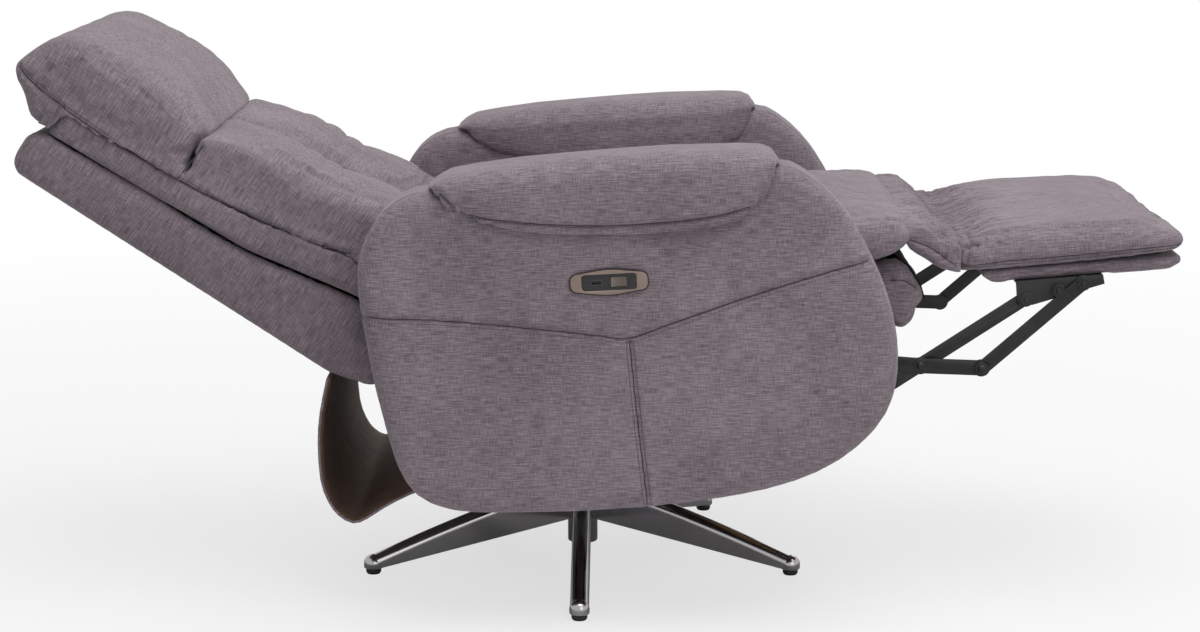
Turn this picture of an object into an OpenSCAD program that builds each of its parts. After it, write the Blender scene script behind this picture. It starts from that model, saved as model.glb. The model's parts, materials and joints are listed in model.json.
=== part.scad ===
// Powered swivel recliner on a star base, shown reclined with its legrest out.
// Millimetres. X points to the legrest, Y to the sitter's left, Z up, and the swivel axis is at X = Y = 0.
// Side outlines are drawn in X and Z. Pieces of the right side are drawn at negative Y and mirrored.

/* [Star base] */
// Distance from the swivel axis to each foot
base_radius = 319; // [295:1:335]
// Number of legs
leg_count = 5; // [5:1:6]
// Width of a leg
leg_width = 26; // [22:1:30]
// Height of the crown of the legs where they meet the hub
leg_crown_height = 122; // [112:1:128]
// Depth of a leg where it meets the hub
leg_hub_depth = 58; // [50:1:64]
// Depth of a leg at its foot
leg_foot_depth = 20; // [16:1:24]
// Radius of the boss at the end of each leg
foot_radius = 14; // [13.5:0.5:15]
// Radius of the hub
hub_radius = 22; // [20:1:26]
// Height of the hub's lower end above the floor
hub_bottom = 23; // [18:1:30]
// Height of the hub's upper end above the floor
hub_top = 132; // [129:1:136]
// Thickness of a glide below its leg
glide_height = 8; // [6:0.5:10]
// Radius of a glide
glide_radius = 11; // [9:0.5:12]

/* [Swivel] */
// Radius of the swivel post
post_radius = 14; // [12:0.5:16]
// Thickness of the bearing plate and of the swivel plate
swivel_plate_thickness = 5; // [4:0.5:6]
// Radius of the thrust ring
thrust_radius = 60; // [52:1:68]
// Height of the thrust ring
thrust_height = 8; // [6:0.5:10]
// Length and width of the swivel plate
swivel_plate_size = 232; // [226:1:250]
// Height of the cross beams
beam_height = 42; // [38:1:46]
// Width of a cross beam
beam_width = 30; // [26:1:36]
// Distance from the swivel axis to the middle of a cross beam
beam_offset = 98; // [94:1:102]
// Wall of the cross beams
beam_wall = 2.5; // [2:0.5:3.5]

/* [Arms] */
// Clear width between the arms
seat_width = 532; // [510:1:550]
// Thickness of an arm
arm_thickness = 109; // [100:1:118]
// Length of an arm
arm_length = 717; // [700:1:735]
// Distance from the swivel axis back to the arm's rear end
arm_rear = 292; // [285:1:300]
// Height of an arm without its pad
arm_height = 474; // [468:1:480]
// Height of an arm's lower edge above the floor
arm_bottom = 163; // [158:1:168]
// Rounding of an arm's edges
arm_edge = 22; // [16:1:28]
// Length of an arm pad
pad_length = 467; // [450:1:480]
// Distance from the swivel axis back to the pad's rear end
pad_rear = 201; // [195:1:207]
// Height of an arm pad from its hem to its crown
pad_height = 111; // [106:1:116]
// How far the pad stands proud of the arm's outer face
pad_drape = 16; // [13:1:20]
// How far the pad reaches over the arm's inner face
pad_lap = 12; // [9:1:14]
// Height of the pad's hem above the floor
pad_bottom = 543; // [540:1:546]
// Thickness of the board inside an arm
arm_board = 15; // [12:1:18]

/* [Seat] */
// Height of the seat box rails' upper edge
deck_height = 436; // [432:1:440]
// Thickness of the side rails
rail_thickness = 18; // [16:1:20]
// Height of the side rails
rail_height = 100; // [90:1:104]
// Thickness of the front and rear rails
cross_rail_thickness = 22; // [20:1:24]
// Room for the linkage between the front rail and the side rails' front ends
link_room = 53; // [50:1:56]
// Length of the shelf under the seat roll beyond the side rails
shelf_length = 50; // [46:1:52]
// Distance from the swivel axis forward to the seat roll's front
seat_front = 441; // [436:1:443]
// Distance from the swivel axis back to the seat cushion's rear end
seat_rear = 128; // [120:1:130]
// Height of the seat cushion's rear end over the deck
seat_rear_height = 62; // [54:1:70]
// Height of the seat roll's crown over the deck
seat_roll_height = 112; // [104:1:118]
// Rise of the seat cushion's middle above its sides
seat_crown = 8; // [4:1:12]
// Draw-in of the seat cushion's ends
seat_edge = 26; // [18:1:32]
// Depth of the padded skirt under the seat roll
skirt_drop = 96; // [88:1:100]
// Thickness of the padded skirt
skirt_depth = 107; // [100:1:108]
// Width of the padded skirt
skirt_width = 450; // [440:1:460]
// Width of the rear apron
apron_width = 500; // [490:1:506]
// Thickness of the rear apron's board, and of its cover
apron_thickness = 3.5; // [3:0.25:4]

/* [Back] */
// Depth of the back's pivot below the seat box's upper edge
back_pivot_drop = 21; // [18:1:24]
// Distance from the swivel axis back to the back's pivot
back_pivot_rear = 235; // [233:1:238]
// Angle of the back above the horizontal
back_angle = 33.4; // [32:0.1:35]
// Width of the back's rear case
back_width = 492; // [484:1:494]
// Length of the rear case above its pivot
case_length = 564; // [550:1:575]
// Distance from the pivot to the rear face of the case
case_rear = 133; // [128:1:138]
// Thickness of the rear case at its top
case_top_depth = 66; // [60:1:70]
// Thickness of the rear case at its lower end
case_low_depth = 110; // [106:1:114]
// Depth of the rear case below the pivot
case_below = 17; // [14:1:19]
// Wall of the rear case
case_wall = 12; // [10:1:14]
// Thickness of the bordered backing cushion at its top
backing_depth = 44; // [40:1:50]
// Thickness of the lumbar cushion in front of the backing
lumbar_depth = 112; // [104:1:120]
// Depth of the sewn valley between the lumbar lobes
lumbar_valley = 15; // [8:1:20]
// Thickness of the head cushion
head_depth = 112; // [104:1:120]
// Height that the head cushion stands above the rear case
head_rise = 65; // [56:1:72]
// Width of the head cushion
head_width = 500; // [490:1:504]

/* [Legrest] */
// Length of the legrest pad
legrest_length = 307; // [295:1:315]
// Thickness of the legrest pad at its rear
legrest_thickness = 48; // [44:1:52]
// Width of the legrest pad
legrest_width = 500; // [490:1:504]
// Thickness of the board under the pad
legrest_board_thickness = 17; // [14:1:17]
// Height of the legrest board's underside above its rear pivot
board_lift_height = 25.5; // [25:0.5:27]
// Height of the padded flap between the seat roll and the legrest pad
flap_height = 78; // [74:1:80]
// Length of the padded flap between the seat roll and the legrest pad
flap_length = 76.2; // [75.6:0.2:76.4]
// Rise of the legrest towards its front, in degrees
legrest_rise = 4.7; // [4:0.1:5.5]

/* [Linkage] */
// Thickness of the steel plates and links
plate_thickness = 3; // [2.5:0.25:3]
// Gap between neighbouring links
plate_gap = 1; // [0.8:0.1:1.2]
// Width of the links
link_width = 22; // [20:1:23]
// Radius of the pivot pins
pin_radius = 5; // [4.5:0.25:5.5]
// Distance from the swivel axis forward to the front link's pivot
front_pivot_reach = 341; // [339:1:343]
// Depth of the front link's pivot below the seat box's upper edge
front_pivot_drop = 85; // [83:1:87]
// Length of the front link from its pivot to the lift link
front_link_reach = 128.4; // [127:0.1:130]
// Length of the front link beyond the lift link
front_link_tip = 84; // [82:0.5:86]
// Length of the lift link from the front link to the bracket
lift_link_length = 170.3; // [168:0.1:172]
// Length of the lift link behind the front link
lift_link_tail = 60; // [58:1:62]
// Distance between the bracket's two pivots
bracket_span = 80.4; // [79:0.1:82]
// Distance from the swivel axis forward to the rear link's pivot
rear_pivot_reach = 297.5; // [296:0.5:299]
// Height of the rear link's pivot above the floor
rear_pivot_height = 285; // [284:0.5:286]
// Radius at which the recline link joins the rear link
crank_radius = 60; // [58:1:62]
// Radius of the drive tube
tube_radius = 11; // [9:0.5:13]

/* [Actuator] */
// Gap between the actuator's tube and the cross beams below it
motor_clearance = 25; // [22:1:29]
// Distance from the swivel axis back to the actuator's rear pivot
motor_pivot_rear = 170; // [164:1:176]
// Radius of the actuator's tube
motor_radius = 19; // [16:1:21]
// Radius of the actuator's rod
rod_radius = 9; // [8:0.5:10]

/* [Control plate] */
// Length of the metal bezel
bezel_length = 103; // [96:1:110]
// Height of the metal bezel at its middle
bezel_height = 36; // [34:1:40]
// Length of the black insert
insert_length = 72; // [68:1:76]
// Height of the black insert
insert_height = 21; // [19:1:23]
// Height of the control plate's middle above the floor
control_height = 482; // [476:1:488]

/* [Hidden] */

// Colours
fabric = [0.45, 0.41, 0.44];
seam_fabric = [0.40, 0.36, 0.39];
chrome = [0.62, 0.62, 0.64];
black_steel = [0.13, 0.13, 0.14];
zinc = [0.66, 0.67, 0.68];
wood = [0.72, 0.58, 0.40];
brown_board = [0.36, 0.23, 0.15];
black_plastic = [0.05, 0.05, 0.06];
taupe_metal = [0.55, 0.49, 0.46];
black_cloth = [0.07, 0.07, 0.07];

// Clearances and fineness
overrun = 4;
seat_gap = 0.3;
soft_gap = 0.6;
press_gap = 0.03;
running_gap = 0.06;
curve_steps = 3;
corner_steps = 4;
edge_turns = 3;
round_steps = 48;
$fn = round_steps;

// A point on a smooth curve from b to c, with a and d as its neighbours
function spline(a, b, c, d, t) =
    (2 * b + (c - a) * t + (2 * a - 5 * b + 4 * c - d) * t * t + (3 * b - a - 3 * c + d) * t * t * t) / 2;

// A closed smooth curve through points
function smooth_loop(p, n) = let (m = len(p)) [
    for (i = [0:m - 1]) for (k = [0:n - 1])
        spline(p[(i + m - 1) % m], p[i], p[(i + 1) % m], p[(i + 2) % m], k / n)];

// An open smooth curve through points
function smooth_chain(p, n) = let (m = len(p)) concat([
    for (i = [0:m - 2]) for (k = [0:n - 1])
        spline(p[max(i - 1, 0)], p[i], p[i + 1], p[min(i + 2, m - 1)], k / n)], [p[m - 1]]);

// Shares of a box turned into places
function placed(shares, low, size) = [for (s = shares) [low[0] + s[0] * size[0], low[1] + s[1] * size[1]]];

// A corner b between a and c turned into an arc of radius r
function unit(v) = v / norm(v);
half_turn = 180;
function arc_turn(d) = d > half_turn ? d - 2 * half_turn : d < -half_turn ? d + 2 * half_turn : d;
function corner_arc(a, b, c, r) =
    let (u = unit(a - b),
         v = unit(c - b),
         half = acos(u * v) / 2,
         mid = b + unit(u + v) * r / sin(half),
         s = b + u * r / tan(half) - mid,
         e = b + v * r / tan(half) - mid,
         from = atan2(s[1], s[0]),
         turn = arc_turn(atan2(e[1], e[0]) - from))
    [for (k = [0:corner_steps]) let (at = from + turn * k / corner_steps) mid + r * [cos(at), sin(at)]];
function rounded(p, radii) = let (m = len(p)) [
    for (i = [0:m - 1]) each corner_arc(p[(i + m - 1) % m], p[i], p[(i + 1) % m], radii[i])];

// The two sides of a bent strip that follows a chain of points
function chain_normal(p, i) =
    let (d = unit(p[min(i + 1, len(p) - 1)] - p[max(i - 1, 0)])) [-d[1], d[0]];
function strip(p, near, far) = concat(
    [for (i = [0:len(p) - 1]) p[i] + chain_normal(p, i) * near],
    [for (i = [len(p) - 1:-1:0]) p[i] + chain_normal(p, i) * far]);

function lows(p) = [min([for (q = p) q[0]]), min([for (q = p) q[1]])];
function highs(p) = [max([for (q = p) q[0]]), max([for (q = p) q[1]])];

// Stations across a padded piece: place and draw-in, rounded at both ends
function stations(half, edge, middle) = concat(
    [for (k = [0:edge_turns]) let (a = 90 * k / edge_turns)
        [-half + edge * (1 - cos(a)), edge * (1 - sin(a))]],
    [for (k = [1:1:middle - 1]) [(half - edge) * (2 * k / middle - 1), 0]],
    [for (k = [edge_turns:-1:0]) let (a = 90 * k / edge_turns)
        [half - edge * (1 - cos(a)), edge * (1 - sin(a))]]);

// A closed solid through rings of equally many points, all triangles
module loft(rings) {
    n = len(rings[0]);
    m = len(rings);
    polyhedron(
        points = [for (r = rings) each r],
        faces = concat(
            [[for (i = [n - 1:-1:0]) i]],
            [[for (i = [0:n - 1]) (m - 1) * n + i]],
            [for (k = [0:m - 2]) for (i = [0:n - 1])
                let (a = k * n + i, b = k * n + (i + 1) % n) each [[a, b, b + n], [a, b + n, a + n]]]),
        convexity = 6);
}

// A padded piece: a side outline drawn in at both ends, its upper or front side lifted by rise.
// It draws in towards its middle, or towards the place about, such as a seam, which stays put
// with what is near it; a higher bend keeps more of it still.
most_draw_share = 0.72;
function drawn_in(v, to, reach, draw, power) =
    let (share = min(abs(v - to) / reach, 1))
    v + sign(to - v) * min(draw, most_draw_share * reach) * pow(share, power);
module padded(outline, half, edge, middle, rise, up, about = [undef, undef], bend = 3) {
    low = lows(outline);
    high = highs(outline);
    mid = (low + high) / 2;
    to = [for (k = [0, 1]) is_undef(about[k]) ? mid[k] : about[k]];
    reach = [for (k = [0, 1]) max(high[k] - to[k], to[k] - low[k])];
    power = [for (k = [0, 1]) is_undef(about[k]) ? 1 : bend];
    loft([for (s = stations(half, edge, middle)) [for (p = outline)
        let (lift = rise(s[0] / half) * max(0, (p[up] - mid[up]) / (high[up] - mid[up])),
             q = [for (k = [0, 1]) drawn_in(p[k], to[k], reach[k], s[1], power[k])])
        [q[0] + (up == 0 ? lift : 0), s[0], q[1] + (up == 1 ? lift : 0)]]]);
}

// A side outline made solid from Y = from towards the left
module slab(from, thickness) {
    translate([0, from + thickness, 0]) rotate([90, 0, 0]) linear_extrude(thickness) children();
}

// A round bar along Y between two places across the chair
module cross_bar(at, from, to, radius) {
    translate([at[0], from, at[1]]) rotate([-90, 0, 0]) cylinder(h = to - from, r = radius);
}

module sided(left) {
    if (left) mirror([0, 1, 0]) children();
    else children();
}

// Outline of a link: a round eye at each point and a slightly narrower bar from each to the next
waist_share = 0.88;
module link_bar(points, eyes) {
    for (i = [0:len(points) - 1]) translate(points[i]) circle(d = eyes[i]);
    for (i = [0:len(points) - 2]) {
        run = points[i + 1] - points[i];
        width = waist_share * min(eyes[i], eyes[i + 1]);
        translate(points[i]) rotate(atan2(run[1], run[0]))
            translate([0, -width / 2]) square([norm(run), width]);
    }
}

module link_hole(at, gap) {
    translate(at) circle(r = pin_radius + gap);
}

// Planes across the chair, all as distances from its middle
arm_inner = seat_width / 2;
arm_outer = arm_inner + arm_thickness;
plate_outer = arm_inner - rail_thickness;
plate_step = plate_thickness + plate_gap;
function plane_outer(k) = plate_outer - k * plate_step;
function plane_inner(k) = plane_outer(k) - plate_thickness;

// A flat steel piece of the right side in plane k
module in_plane(k) {
    slab(-plane_outer(k), plate_thickness) children();
}

// Star base
leg_foot_top = glide_height + leg_foot_depth;
leg_crown_power = 1.3;
leg_rings = 8;
crown_points = 8;
function leg_top(t) = leg_foot_top + (leg_crown_height - leg_foot_top) * (1 - pow(t, leg_crown_power));
function leg_low(t) = glide_height + (leg_crown_height - leg_hub_depth - glide_height) * (1 - t);

module leg() {
    half = leg_width / 2;
    rotate(-90) loft([for (k = [0:leg_rings]) let (t = k / leg_rings, top = leg_top(t))
        concat(
            [[-half, t * base_radius, leg_low(t)]],
            [[half, t * base_radius, leg_low(t)]],
            [for (i = [0:crown_points]) let (a = 180 * i / crown_points)
                [half * cos(a), t * base_radius, top - half * (1 - sin(a))]])]);
}

foot_dome_share = 0.33;
module foot_boss() {
    cylinder(h = leg_foot_depth * foot_dome_share, r = foot_radius);
    translate([0, 0, leg_foot_depth * foot_dome_share]) difference() {
        sphere(r = foot_radius);
        translate([-leg_width, -leg_width, -2 * leg_width]) cube(2 * leg_width);
    }
}

module star_base() {
    color(chrome) difference() {
        union() {
            translate([0, 0, hub_bottom]) cylinder(h = hub_top - hub_bottom, r = hub_radius);
            for (i = [0:leg_count - 1]) rotate(-90 + i * 360 / leg_count) {
                leg();
                translate([base_radius, 0, glide_height]) foot_boss();
            }
        }
        translate([0, 0, hub_bottom + beam_wall])
            cylinder(h = hub_top - hub_bottom, r = post_radius + press_gap);
        for (i = [0:leg_count - 1]) rotate(-90 + i * 360 / leg_count)
            translate([base_radius, 0, glide_height - overrun])
                cylinder(h = stem_length + overrun + seat_gap, r = stem_radius + press_gap);
    }
}

stem_radius = glide_radius * 0.36;
stem_length = leg_foot_depth * 0.6;

module foot_glides() {
    color(black_plastic) for (i = [0:leg_count - 1])
    rotate(-90 + i * 360 / leg_count) translate([base_radius, 0, 0]) {
        cylinder(h = glide_height / 3, r1 = glide_radius * 0.85, r2 = glide_radius);
        translate([0, 0, glide_height / 3]) cylinder(h = glide_height * 2 / 3, r = glide_radius);
        translate([0, 0, glide_height / 3])
            cylinder(h = glide_height * 2 / 3 + stem_length, r = stem_radius);
    }
}

bearing_top = hub_top + swivel_plate_thickness;
thrust_top = bearing_top + thrust_height;
carcass_bottom = thrust_top + swivel_plate_thickness;
post_top = carcass_bottom + swivel_plate_thickness;

module swivel_post() {
    color(zinc) {
        translate([0, 0, hub_bottom + beam_wall])
            cylinder(h = post_top - hub_bottom - beam_wall, r = post_radius);
        translate([0, 0, carcass_bottom + seat_gap])
            cylinder(h = swivel_plate_thickness, r = post_radius * 1.6);
    }
}

module bearing_plate() {
    color(zinc) difference() {
        translate([0, 0, hub_top]) cylinder(h = swivel_plate_thickness, r = thrust_radius * 1.15);
        translate([0, 0, hub_top - overrun])
            cylinder(h = swivel_plate_thickness + 2 * overrun, r = post_radius + press_gap);
    }
}

module thrust_ring() {
    color(black_steel) difference() {
        translate([0, 0, bearing_top]) cylinder(h = thrust_height - seat_gap, r = thrust_radius);
        translate([0, 0, bearing_top - overrun])
            cylinder(h = thrust_height + 2 * overrun, r = thrust_radius * 0.6);
    }
}

bolt_radius = 4;
bolt_spread_share = 0.32;
function bolt_places() = [for (sx = [-1, 1]) for (sy = [-1, 1])
    [sx * beam_offset, sy * swivel_plate_size * bolt_spread_share]];

module swivel_plate() {
    color(zinc) difference() {
        translate([-swivel_plate_size / 2, -swivel_plate_size / 2, thrust_top])
            cube([swivel_plate_size, swivel_plate_size, swivel_plate_thickness]);
        translate([0, 0, thrust_top - overrun])
            cylinder(h = swivel_plate_thickness + 2 * overrun, r = post_radius + running_gap);
        for (p = bolt_places()) translate([p[0], p[1], thrust_top - overrun])
            cylinder(h = swivel_plate_thickness + 2 * overrun, r = bolt_radius + press_gap);
    }
}

module plate_bolts() {
    head = swivel_plate_thickness * 0.8;
    color(zinc) for (p = bolt_places()) translate([p[0], p[1], thrust_top - head]) {
        cylinder(h = head, r = bolt_radius * 1.8);
        cylinder(h = head + swivel_plate_thickness + beam_wall, r = bolt_radius);
        translate([0, 0, head + swivel_plate_thickness + beam_wall])
            cylinder(h = head, r = bolt_radius * 1.8);
    }
}

module cross_beams() {
    color(black_steel) for (s = [-1, 1]) translate([s * beam_offset, 0, carcass_bottom]) difference() {
        translate([-beam_width / 2, -arm_inner, 0]) cube([beam_width, 2 * arm_inner, beam_height]);
        translate([-beam_width / 2 + beam_wall, -arm_inner - overrun, beam_wall])
            cube([beam_width - 2 * beam_wall, 2 * (arm_inner + overrun), beam_height - 2 * beam_wall]);
        for (sy = [-1, 1]) translate([0, sy * swivel_plate_size * bolt_spread_share, -overrun])
            cylinder(h = beam_wall + 2 * overrun, r = bolt_radius + press_gap);
    }
}

// Arms: their side outline as shares of their length and height
arm_outline_shares = [
    [0, 0.71], [0.015, 0.48], [0.042, 0.28], [0.084, 0.085], [0.163, 0.008], [0.32, 0], [0.55, 0.02],
    [0.76, 0.07], [0.895, 0.155], [0.98, 0.29], [1, 0.46], [0.972, 0.655], [0.905, 0.85], [0.825, 0.967],
    [0.75, 1], [0.616, 0.985], [0.435, 0.96], [0.254, 0.94], [0.128, 0.922], [0.047, 0.86]];
arm_low = [-arm_rear, arm_bottom];
arm_size = [arm_length, arm_height];
function arm_outline() = smooth_loop(placed(arm_outline_shares, arm_low, arm_size), curve_steps);

function inset_loop(p, d) =
    let (mid = (lows(p) + highs(p)) / 2, reach = (highs(p) - lows(p)) / 2)
    [for (q = p) [for (k = [0, 1]) mid[k] + (q[k] - mid[k]) * (1 - d / reach[k])]];

board_inset = arm_edge * 1.2;
board_plane = arm_inner + arm_edge;
bezel_thickness = 3;
insert_depth = 26;
insert_wall = 2;
pocket_depth = insert_depth + bezel_thickness;
control_x = -arm_rear + arm_length * 0.464;
control_tilt = -3;

// The control plate's own frame: X along it, Z up it, Y = 0 on the arm's outer face
module at_control() {
    translate([control_x, -arm_outer, control_height]) rotate([0, control_tilt, 0]) children();
}

module arm_cover(left) {
    sided(left) color(fabric) difference() {
        translate([0, -(arm_inner + arm_outer) / 2, 0])
            padded(arm_outline(), arm_thickness / 2, arm_edge, 1, function(u) 0, 1);
        slab(-board_plane - arm_board - seat_gap, arm_board + 2 * seat_gap)
            polygon(inset_loop(arm_outline(), board_inset - seat_gap));
        if (!left) at_control()
            translate([-insert_length / 2 - seat_gap, -overrun, -insert_height / 2 - seat_gap])
            cube([insert_length + 2 * seat_gap, pocket_depth + overrun, insert_height + 2 * seat_gap]);
    }
}

module arm_frame(left) {
    sided(left) color(wood) slab(-board_plane - arm_board, arm_board)
        polygon(inset_loop(arm_outline(), board_inset));
}

// Arm pad: along its length, its rear and front ends and its hem and crown, as shares
pad_rows_shares = [
    [0, 0.50, 0.54, 0.55], [0.025, 0.44, 0.62, 0.78], [0.065, 0.33, 0.69, 0.90], [0.14, 0.16, 0.75, 0.97],
    [0.27, 0.045, 0.83, 1], [0.42, 0, 0.89, 1], [0.56, 0, 0.94, 1], [0.70, 0.03, 0.98, 1],
    [0.81, 0.10, 0.99, 1], [0.885, 0.19, 1, 0.99],
    [0.95, 0.38, 0.99, 0.95], [0.98, 0.62, 0.95, 0.85], [1, 0.82, 0.86, 0.6]];
pad_points = 20;
pad_roundness = 0.55;
pad_inner = arm_inner - pad_lap;
pad_outer = arm_outer + pad_drape;
function rounded_power(v) = sign(v) * pow(abs(v), pad_roundness);

module arm_pad(left) {
    wide = (pad_outer - pad_inner) / 2;
    sided(left) color(fabric) difference() {
        rotate(-90) loft([for (r = pad_rows_shares)
            let (low = pad_bottom + r[1] * pad_height,
                 high = pad_bottom + r[2] * pad_height,
                 mid = (low + high) / 2,
                 tall = (high - low) / 2)
            [for (i = [0:pad_points - 1]) let (a = 360 * i / pad_points)
                [(pad_inner + pad_outer) / 2 + r[3] * wide * rounded_power(cos(a)),
                 -pad_rear + r[0] * pad_length,
                 mid + tall * rounded_power(sin(a))]]]);
        translate([0, 0, soft_gap]) slab(-arm_outer - seat_gap, arm_thickness + 2 * seat_gap)
            polygon(arm_outline());
    }
}

// Seat box
rail_front = front_pivot_reach - link_width * 1.2;
rail_rear = back_pivot_rear + rail_thickness * 1.1;
module side_rail(left) {
    sided(left) color(wood) translate([-rail_rear, -arm_inner, deck_height - rail_height])
        cube([rail_rear + rail_front, rail_thickness, rail_height]);
}

// Pivots of the linkage, from the lengths of the links and their angles at rest
front_link_angle = -4.4;
front_tip_angle = -2;
lift_angle = 33.5;
bracket_angle = 16.6;
crank_angle = -45;
function along(p, length, angle) = p + length * [cos(angle), sin(angle)];
front_pivot = [front_pivot_reach, deck_height - front_pivot_drop];
lift_pivot = along(front_pivot, front_link_reach, front_link_angle);
tip_pivot = along(lift_pivot, front_link_tip, front_tip_angle);
bracket_pivot = along(lift_pivot, lift_link_length, lift_angle);
upper_pivot = along(bracket_pivot, bracket_span, bracket_angle);
tail_pivot = along(lift_pivot, -lift_link_tail, lift_angle);
rear_pivot = [rear_pivot_reach, rear_pivot_height];
crank_pivot = along(rear_pivot, crank_radius, crank_angle);
tube_place = rear_pivot + (tail_pivot - rear_pivot) * 0.4;
back_pivot = [-back_pivot_rear, deck_height - back_pivot_drop];
back_swing = 45;
back_crank_radius = crank_radius * sin(45) / sin(back_swing / 2);
back_crank = along(back_pivot, back_crank_radius, back_swing / 2 - 90);
plate_knee = [front_pivot_reach * 0.58, (back_pivot[1] + front_pivot[1]) / 2];
plate_width = link_width * 1.6;
head_radius = pin_radius * 1.5;
head_height = pin_radius * 0.45;

// A pin of the right side from plane a's outer face in to the inner face of plane b, less a gap
module pin_between(at, a, b, gap) {
    cross_bar(at, -plane_outer(a), -plane_inner(b) - gap, pin_radius);
}

// The same with a head that holds plane b on
module rivet_between(at, a, b) {
    face = -plane_inner(b) + seat_gap;
    cross_bar(at, -plane_outer(a), face, pin_radius);
    cross_bar(at, face, face + head_height, head_radius);
}

module side_plate(left) {
    sided(left) color(black_steel) {
        in_plane(0) union() {
            link_bar([back_pivot, plate_knee, front_pivot], [plate_width, plate_width, link_width * 1.2]);
            link_bar([plate_knee, rear_pivot], [plate_width, link_width * 1.2]);
        }
        pin_between(back_pivot, 0, 1, seat_gap);
        pin_between(front_pivot, 0, 1, seat_gap);
        rivet_between(rear_pivot, 0, 3);
    }
}

module front_link(left) {
    sided(left) color(black_steel) {
        in_plane(1) difference() {
            link_bar([front_pivot, lift_pivot, tip_pivot], link_width * [1.1, 1.1, 1.1]);
            link_hole(front_pivot, running_gap);
        }
        rivet_between(lift_pivot, 1, 2);
        face = -plane_outer(0) - seat_gap;
        cross_bar(tip_pivot, face, -plane_outer(1) + plate_thickness / 2, pin_radius);
        cross_bar(tip_pivot, face - head_height, face, head_radius);
    }
}

module lift_link(left) {
    sided(left) color(black_steel) in_plane(2) difference() {
        link_bar([tail_pivot, bracket_pivot], [link_width, link_width]);
        link_hole(lift_pivot, running_gap);
        link_hole(bracket_pivot, running_gap);
    }
}

module upper_link(left) {
    sided(left) color(black_steel) {
        in_plane(0) difference() {
            link_bar([tip_pivot, upper_pivot], [link_width, link_width]);
            link_hole(tip_pivot, running_gap);
        }
        cross_bar(upper_pivot, -plane_outer(0) - head_height, -plane_outer(0), head_radius);
    }
}

module rear_link(left) {
    sided(left) color(black_steel) {
        in_plane(3) difference() {
            link_bar([tail_pivot, rear_pivot, crank_pivot], [link_width, link_width * 1.1, link_width]);
            link_hole(rear_pivot, running_gap);
        }
        for (p = [tail_pivot, crank_pivot])
            cross_bar(p, -plane_inner(3), -plane_inner(3) + head_height, head_radius);
    }
}

// Lugs of the drive tube, where the actuator's rod pushes
lug_radius = 75;
lug_angle = -60;
rod_pivot = along(rear_pivot, lug_radius, lug_angle);
eye_half = rod_radius - 1;
lug_thickness = 5;

module drive_tube() {
    color(black_steel) {
        cross_bar(tube_place, -plane_inner(3), plane_inner(3), tube_radius);
        for (s = [0, 1]) sided(s == 1)
        slab(-eye_half - seat_gap - lug_thickness, lug_thickness) difference() {
            link_bar([tube_place, rod_pivot], [link_width * 1.2, link_width]);
            link_hole(rod_pivot, 0);
        }
    }
}

module recline_link(left) {
    sided(left) color(black_steel) in_plane(2) difference() {
        link_bar([back_crank, crank_pivot], [link_width, link_width]);
        link_hole(back_crank, running_gap);
    }
}

front_rail_face = rail_front - link_room;
module front_rail() {
    color(wood) {
        translate([front_rail_face - cross_rail_thickness, -plane_inner(0), deck_height - rail_height])
            cube([cross_rail_thickness, 2 * plane_inner(0), rail_height]);
        translate([front_rail_face, -plane_inner(3), deck_height + spring_height - rail_thickness])
            cube([link_room + shelf_length, 2 * plane_inner(3), rail_thickness]);
    }
}

rear_rail_x = -seat_rear - cross_rail_thickness / 3;
module rear_rail() {
    color(wood) translate([rear_rail_x, -plane_inner(0), deck_height - rail_height])
        cube([cross_rail_thickness, 2 * plane_inner(0), rail_height]);
}

// Zigzag springs
spring_height = 3.7;
wire = 3.7;
spring_count = 5;
spring_pitch = 26;
spring_wave = 22;
function zigzag(length, pitch, wave) =
    let (n = floor(length / pitch)) smooth_chain([
        for (i = [0:n]) [length * i / n, i == 0 || i == n ? 0 : (i % 2 == 0 ? -wave : wave)]], 2);

module spring(length) {
    linear_extrude(spring_height)
        polygon(strip(zigzag(length, spring_pitch, spring_wave), -wire / 2, wire / 2));
}

spring_inset = cross_rail_thickness / 4;
spring_spread = seat_width / (spring_count + 0.6);
module seat_springs() {
    length = front_rail_face - rear_rail_x - 2 * spring_inset;
    color(zinc) for (i = [0:spring_count - 1])
        translate([rear_rail_x + spring_inset, (i - (spring_count - 1) / 2) * spring_spread, deck_height])
            spring(length);
}

// Seat cushion: shares of its length and of the roll's height, along its top from the rear to the roll
seat_top_shares = [
    [0, 0.45], [0.06, 0.535], [0.25, 0.60], [0.45, 0.68], [0.64, 0.80], [0.79, 0.92], [0.89, 0.975],
    [0.955, 0.94], [0.99, 0.83], [1, 0.70], [0.985, 0.56], [0.945, 0.455], [0.90, 0.43]];
seat_low_shares = [[0.86, 0.30], [0.85, 0.04], [0.83, 0], [0.01, 0], [0, 0.04]];
seat_bottom = deck_height + spring_height + seat_gap;
seat_side_gap = 8;
seat_stations = 6;

module seat_cushion() {
    tall = seat_roll_height - spring_height;
    rear_share = seat_rear_height / seat_roll_height;
    top = [for (s = seat_top_shares)
        [s[0], s[0] < 0.5 ? s[1] * (1 + (rear_share - 0.55) * (1 - 2 * s[0])) : s[1]]];
    outline = concat(smooth_chain(top, 2), seat_low_shares);
    color(fabric) padded(
        placed(outline, [-seat_rear, seat_bottom], [seat_front + seat_rear, tall]),
        arm_inner - seat_side_gap, seat_edge, seat_stations, function(u) seat_crown * (1 - u * u), 1);
}

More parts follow.
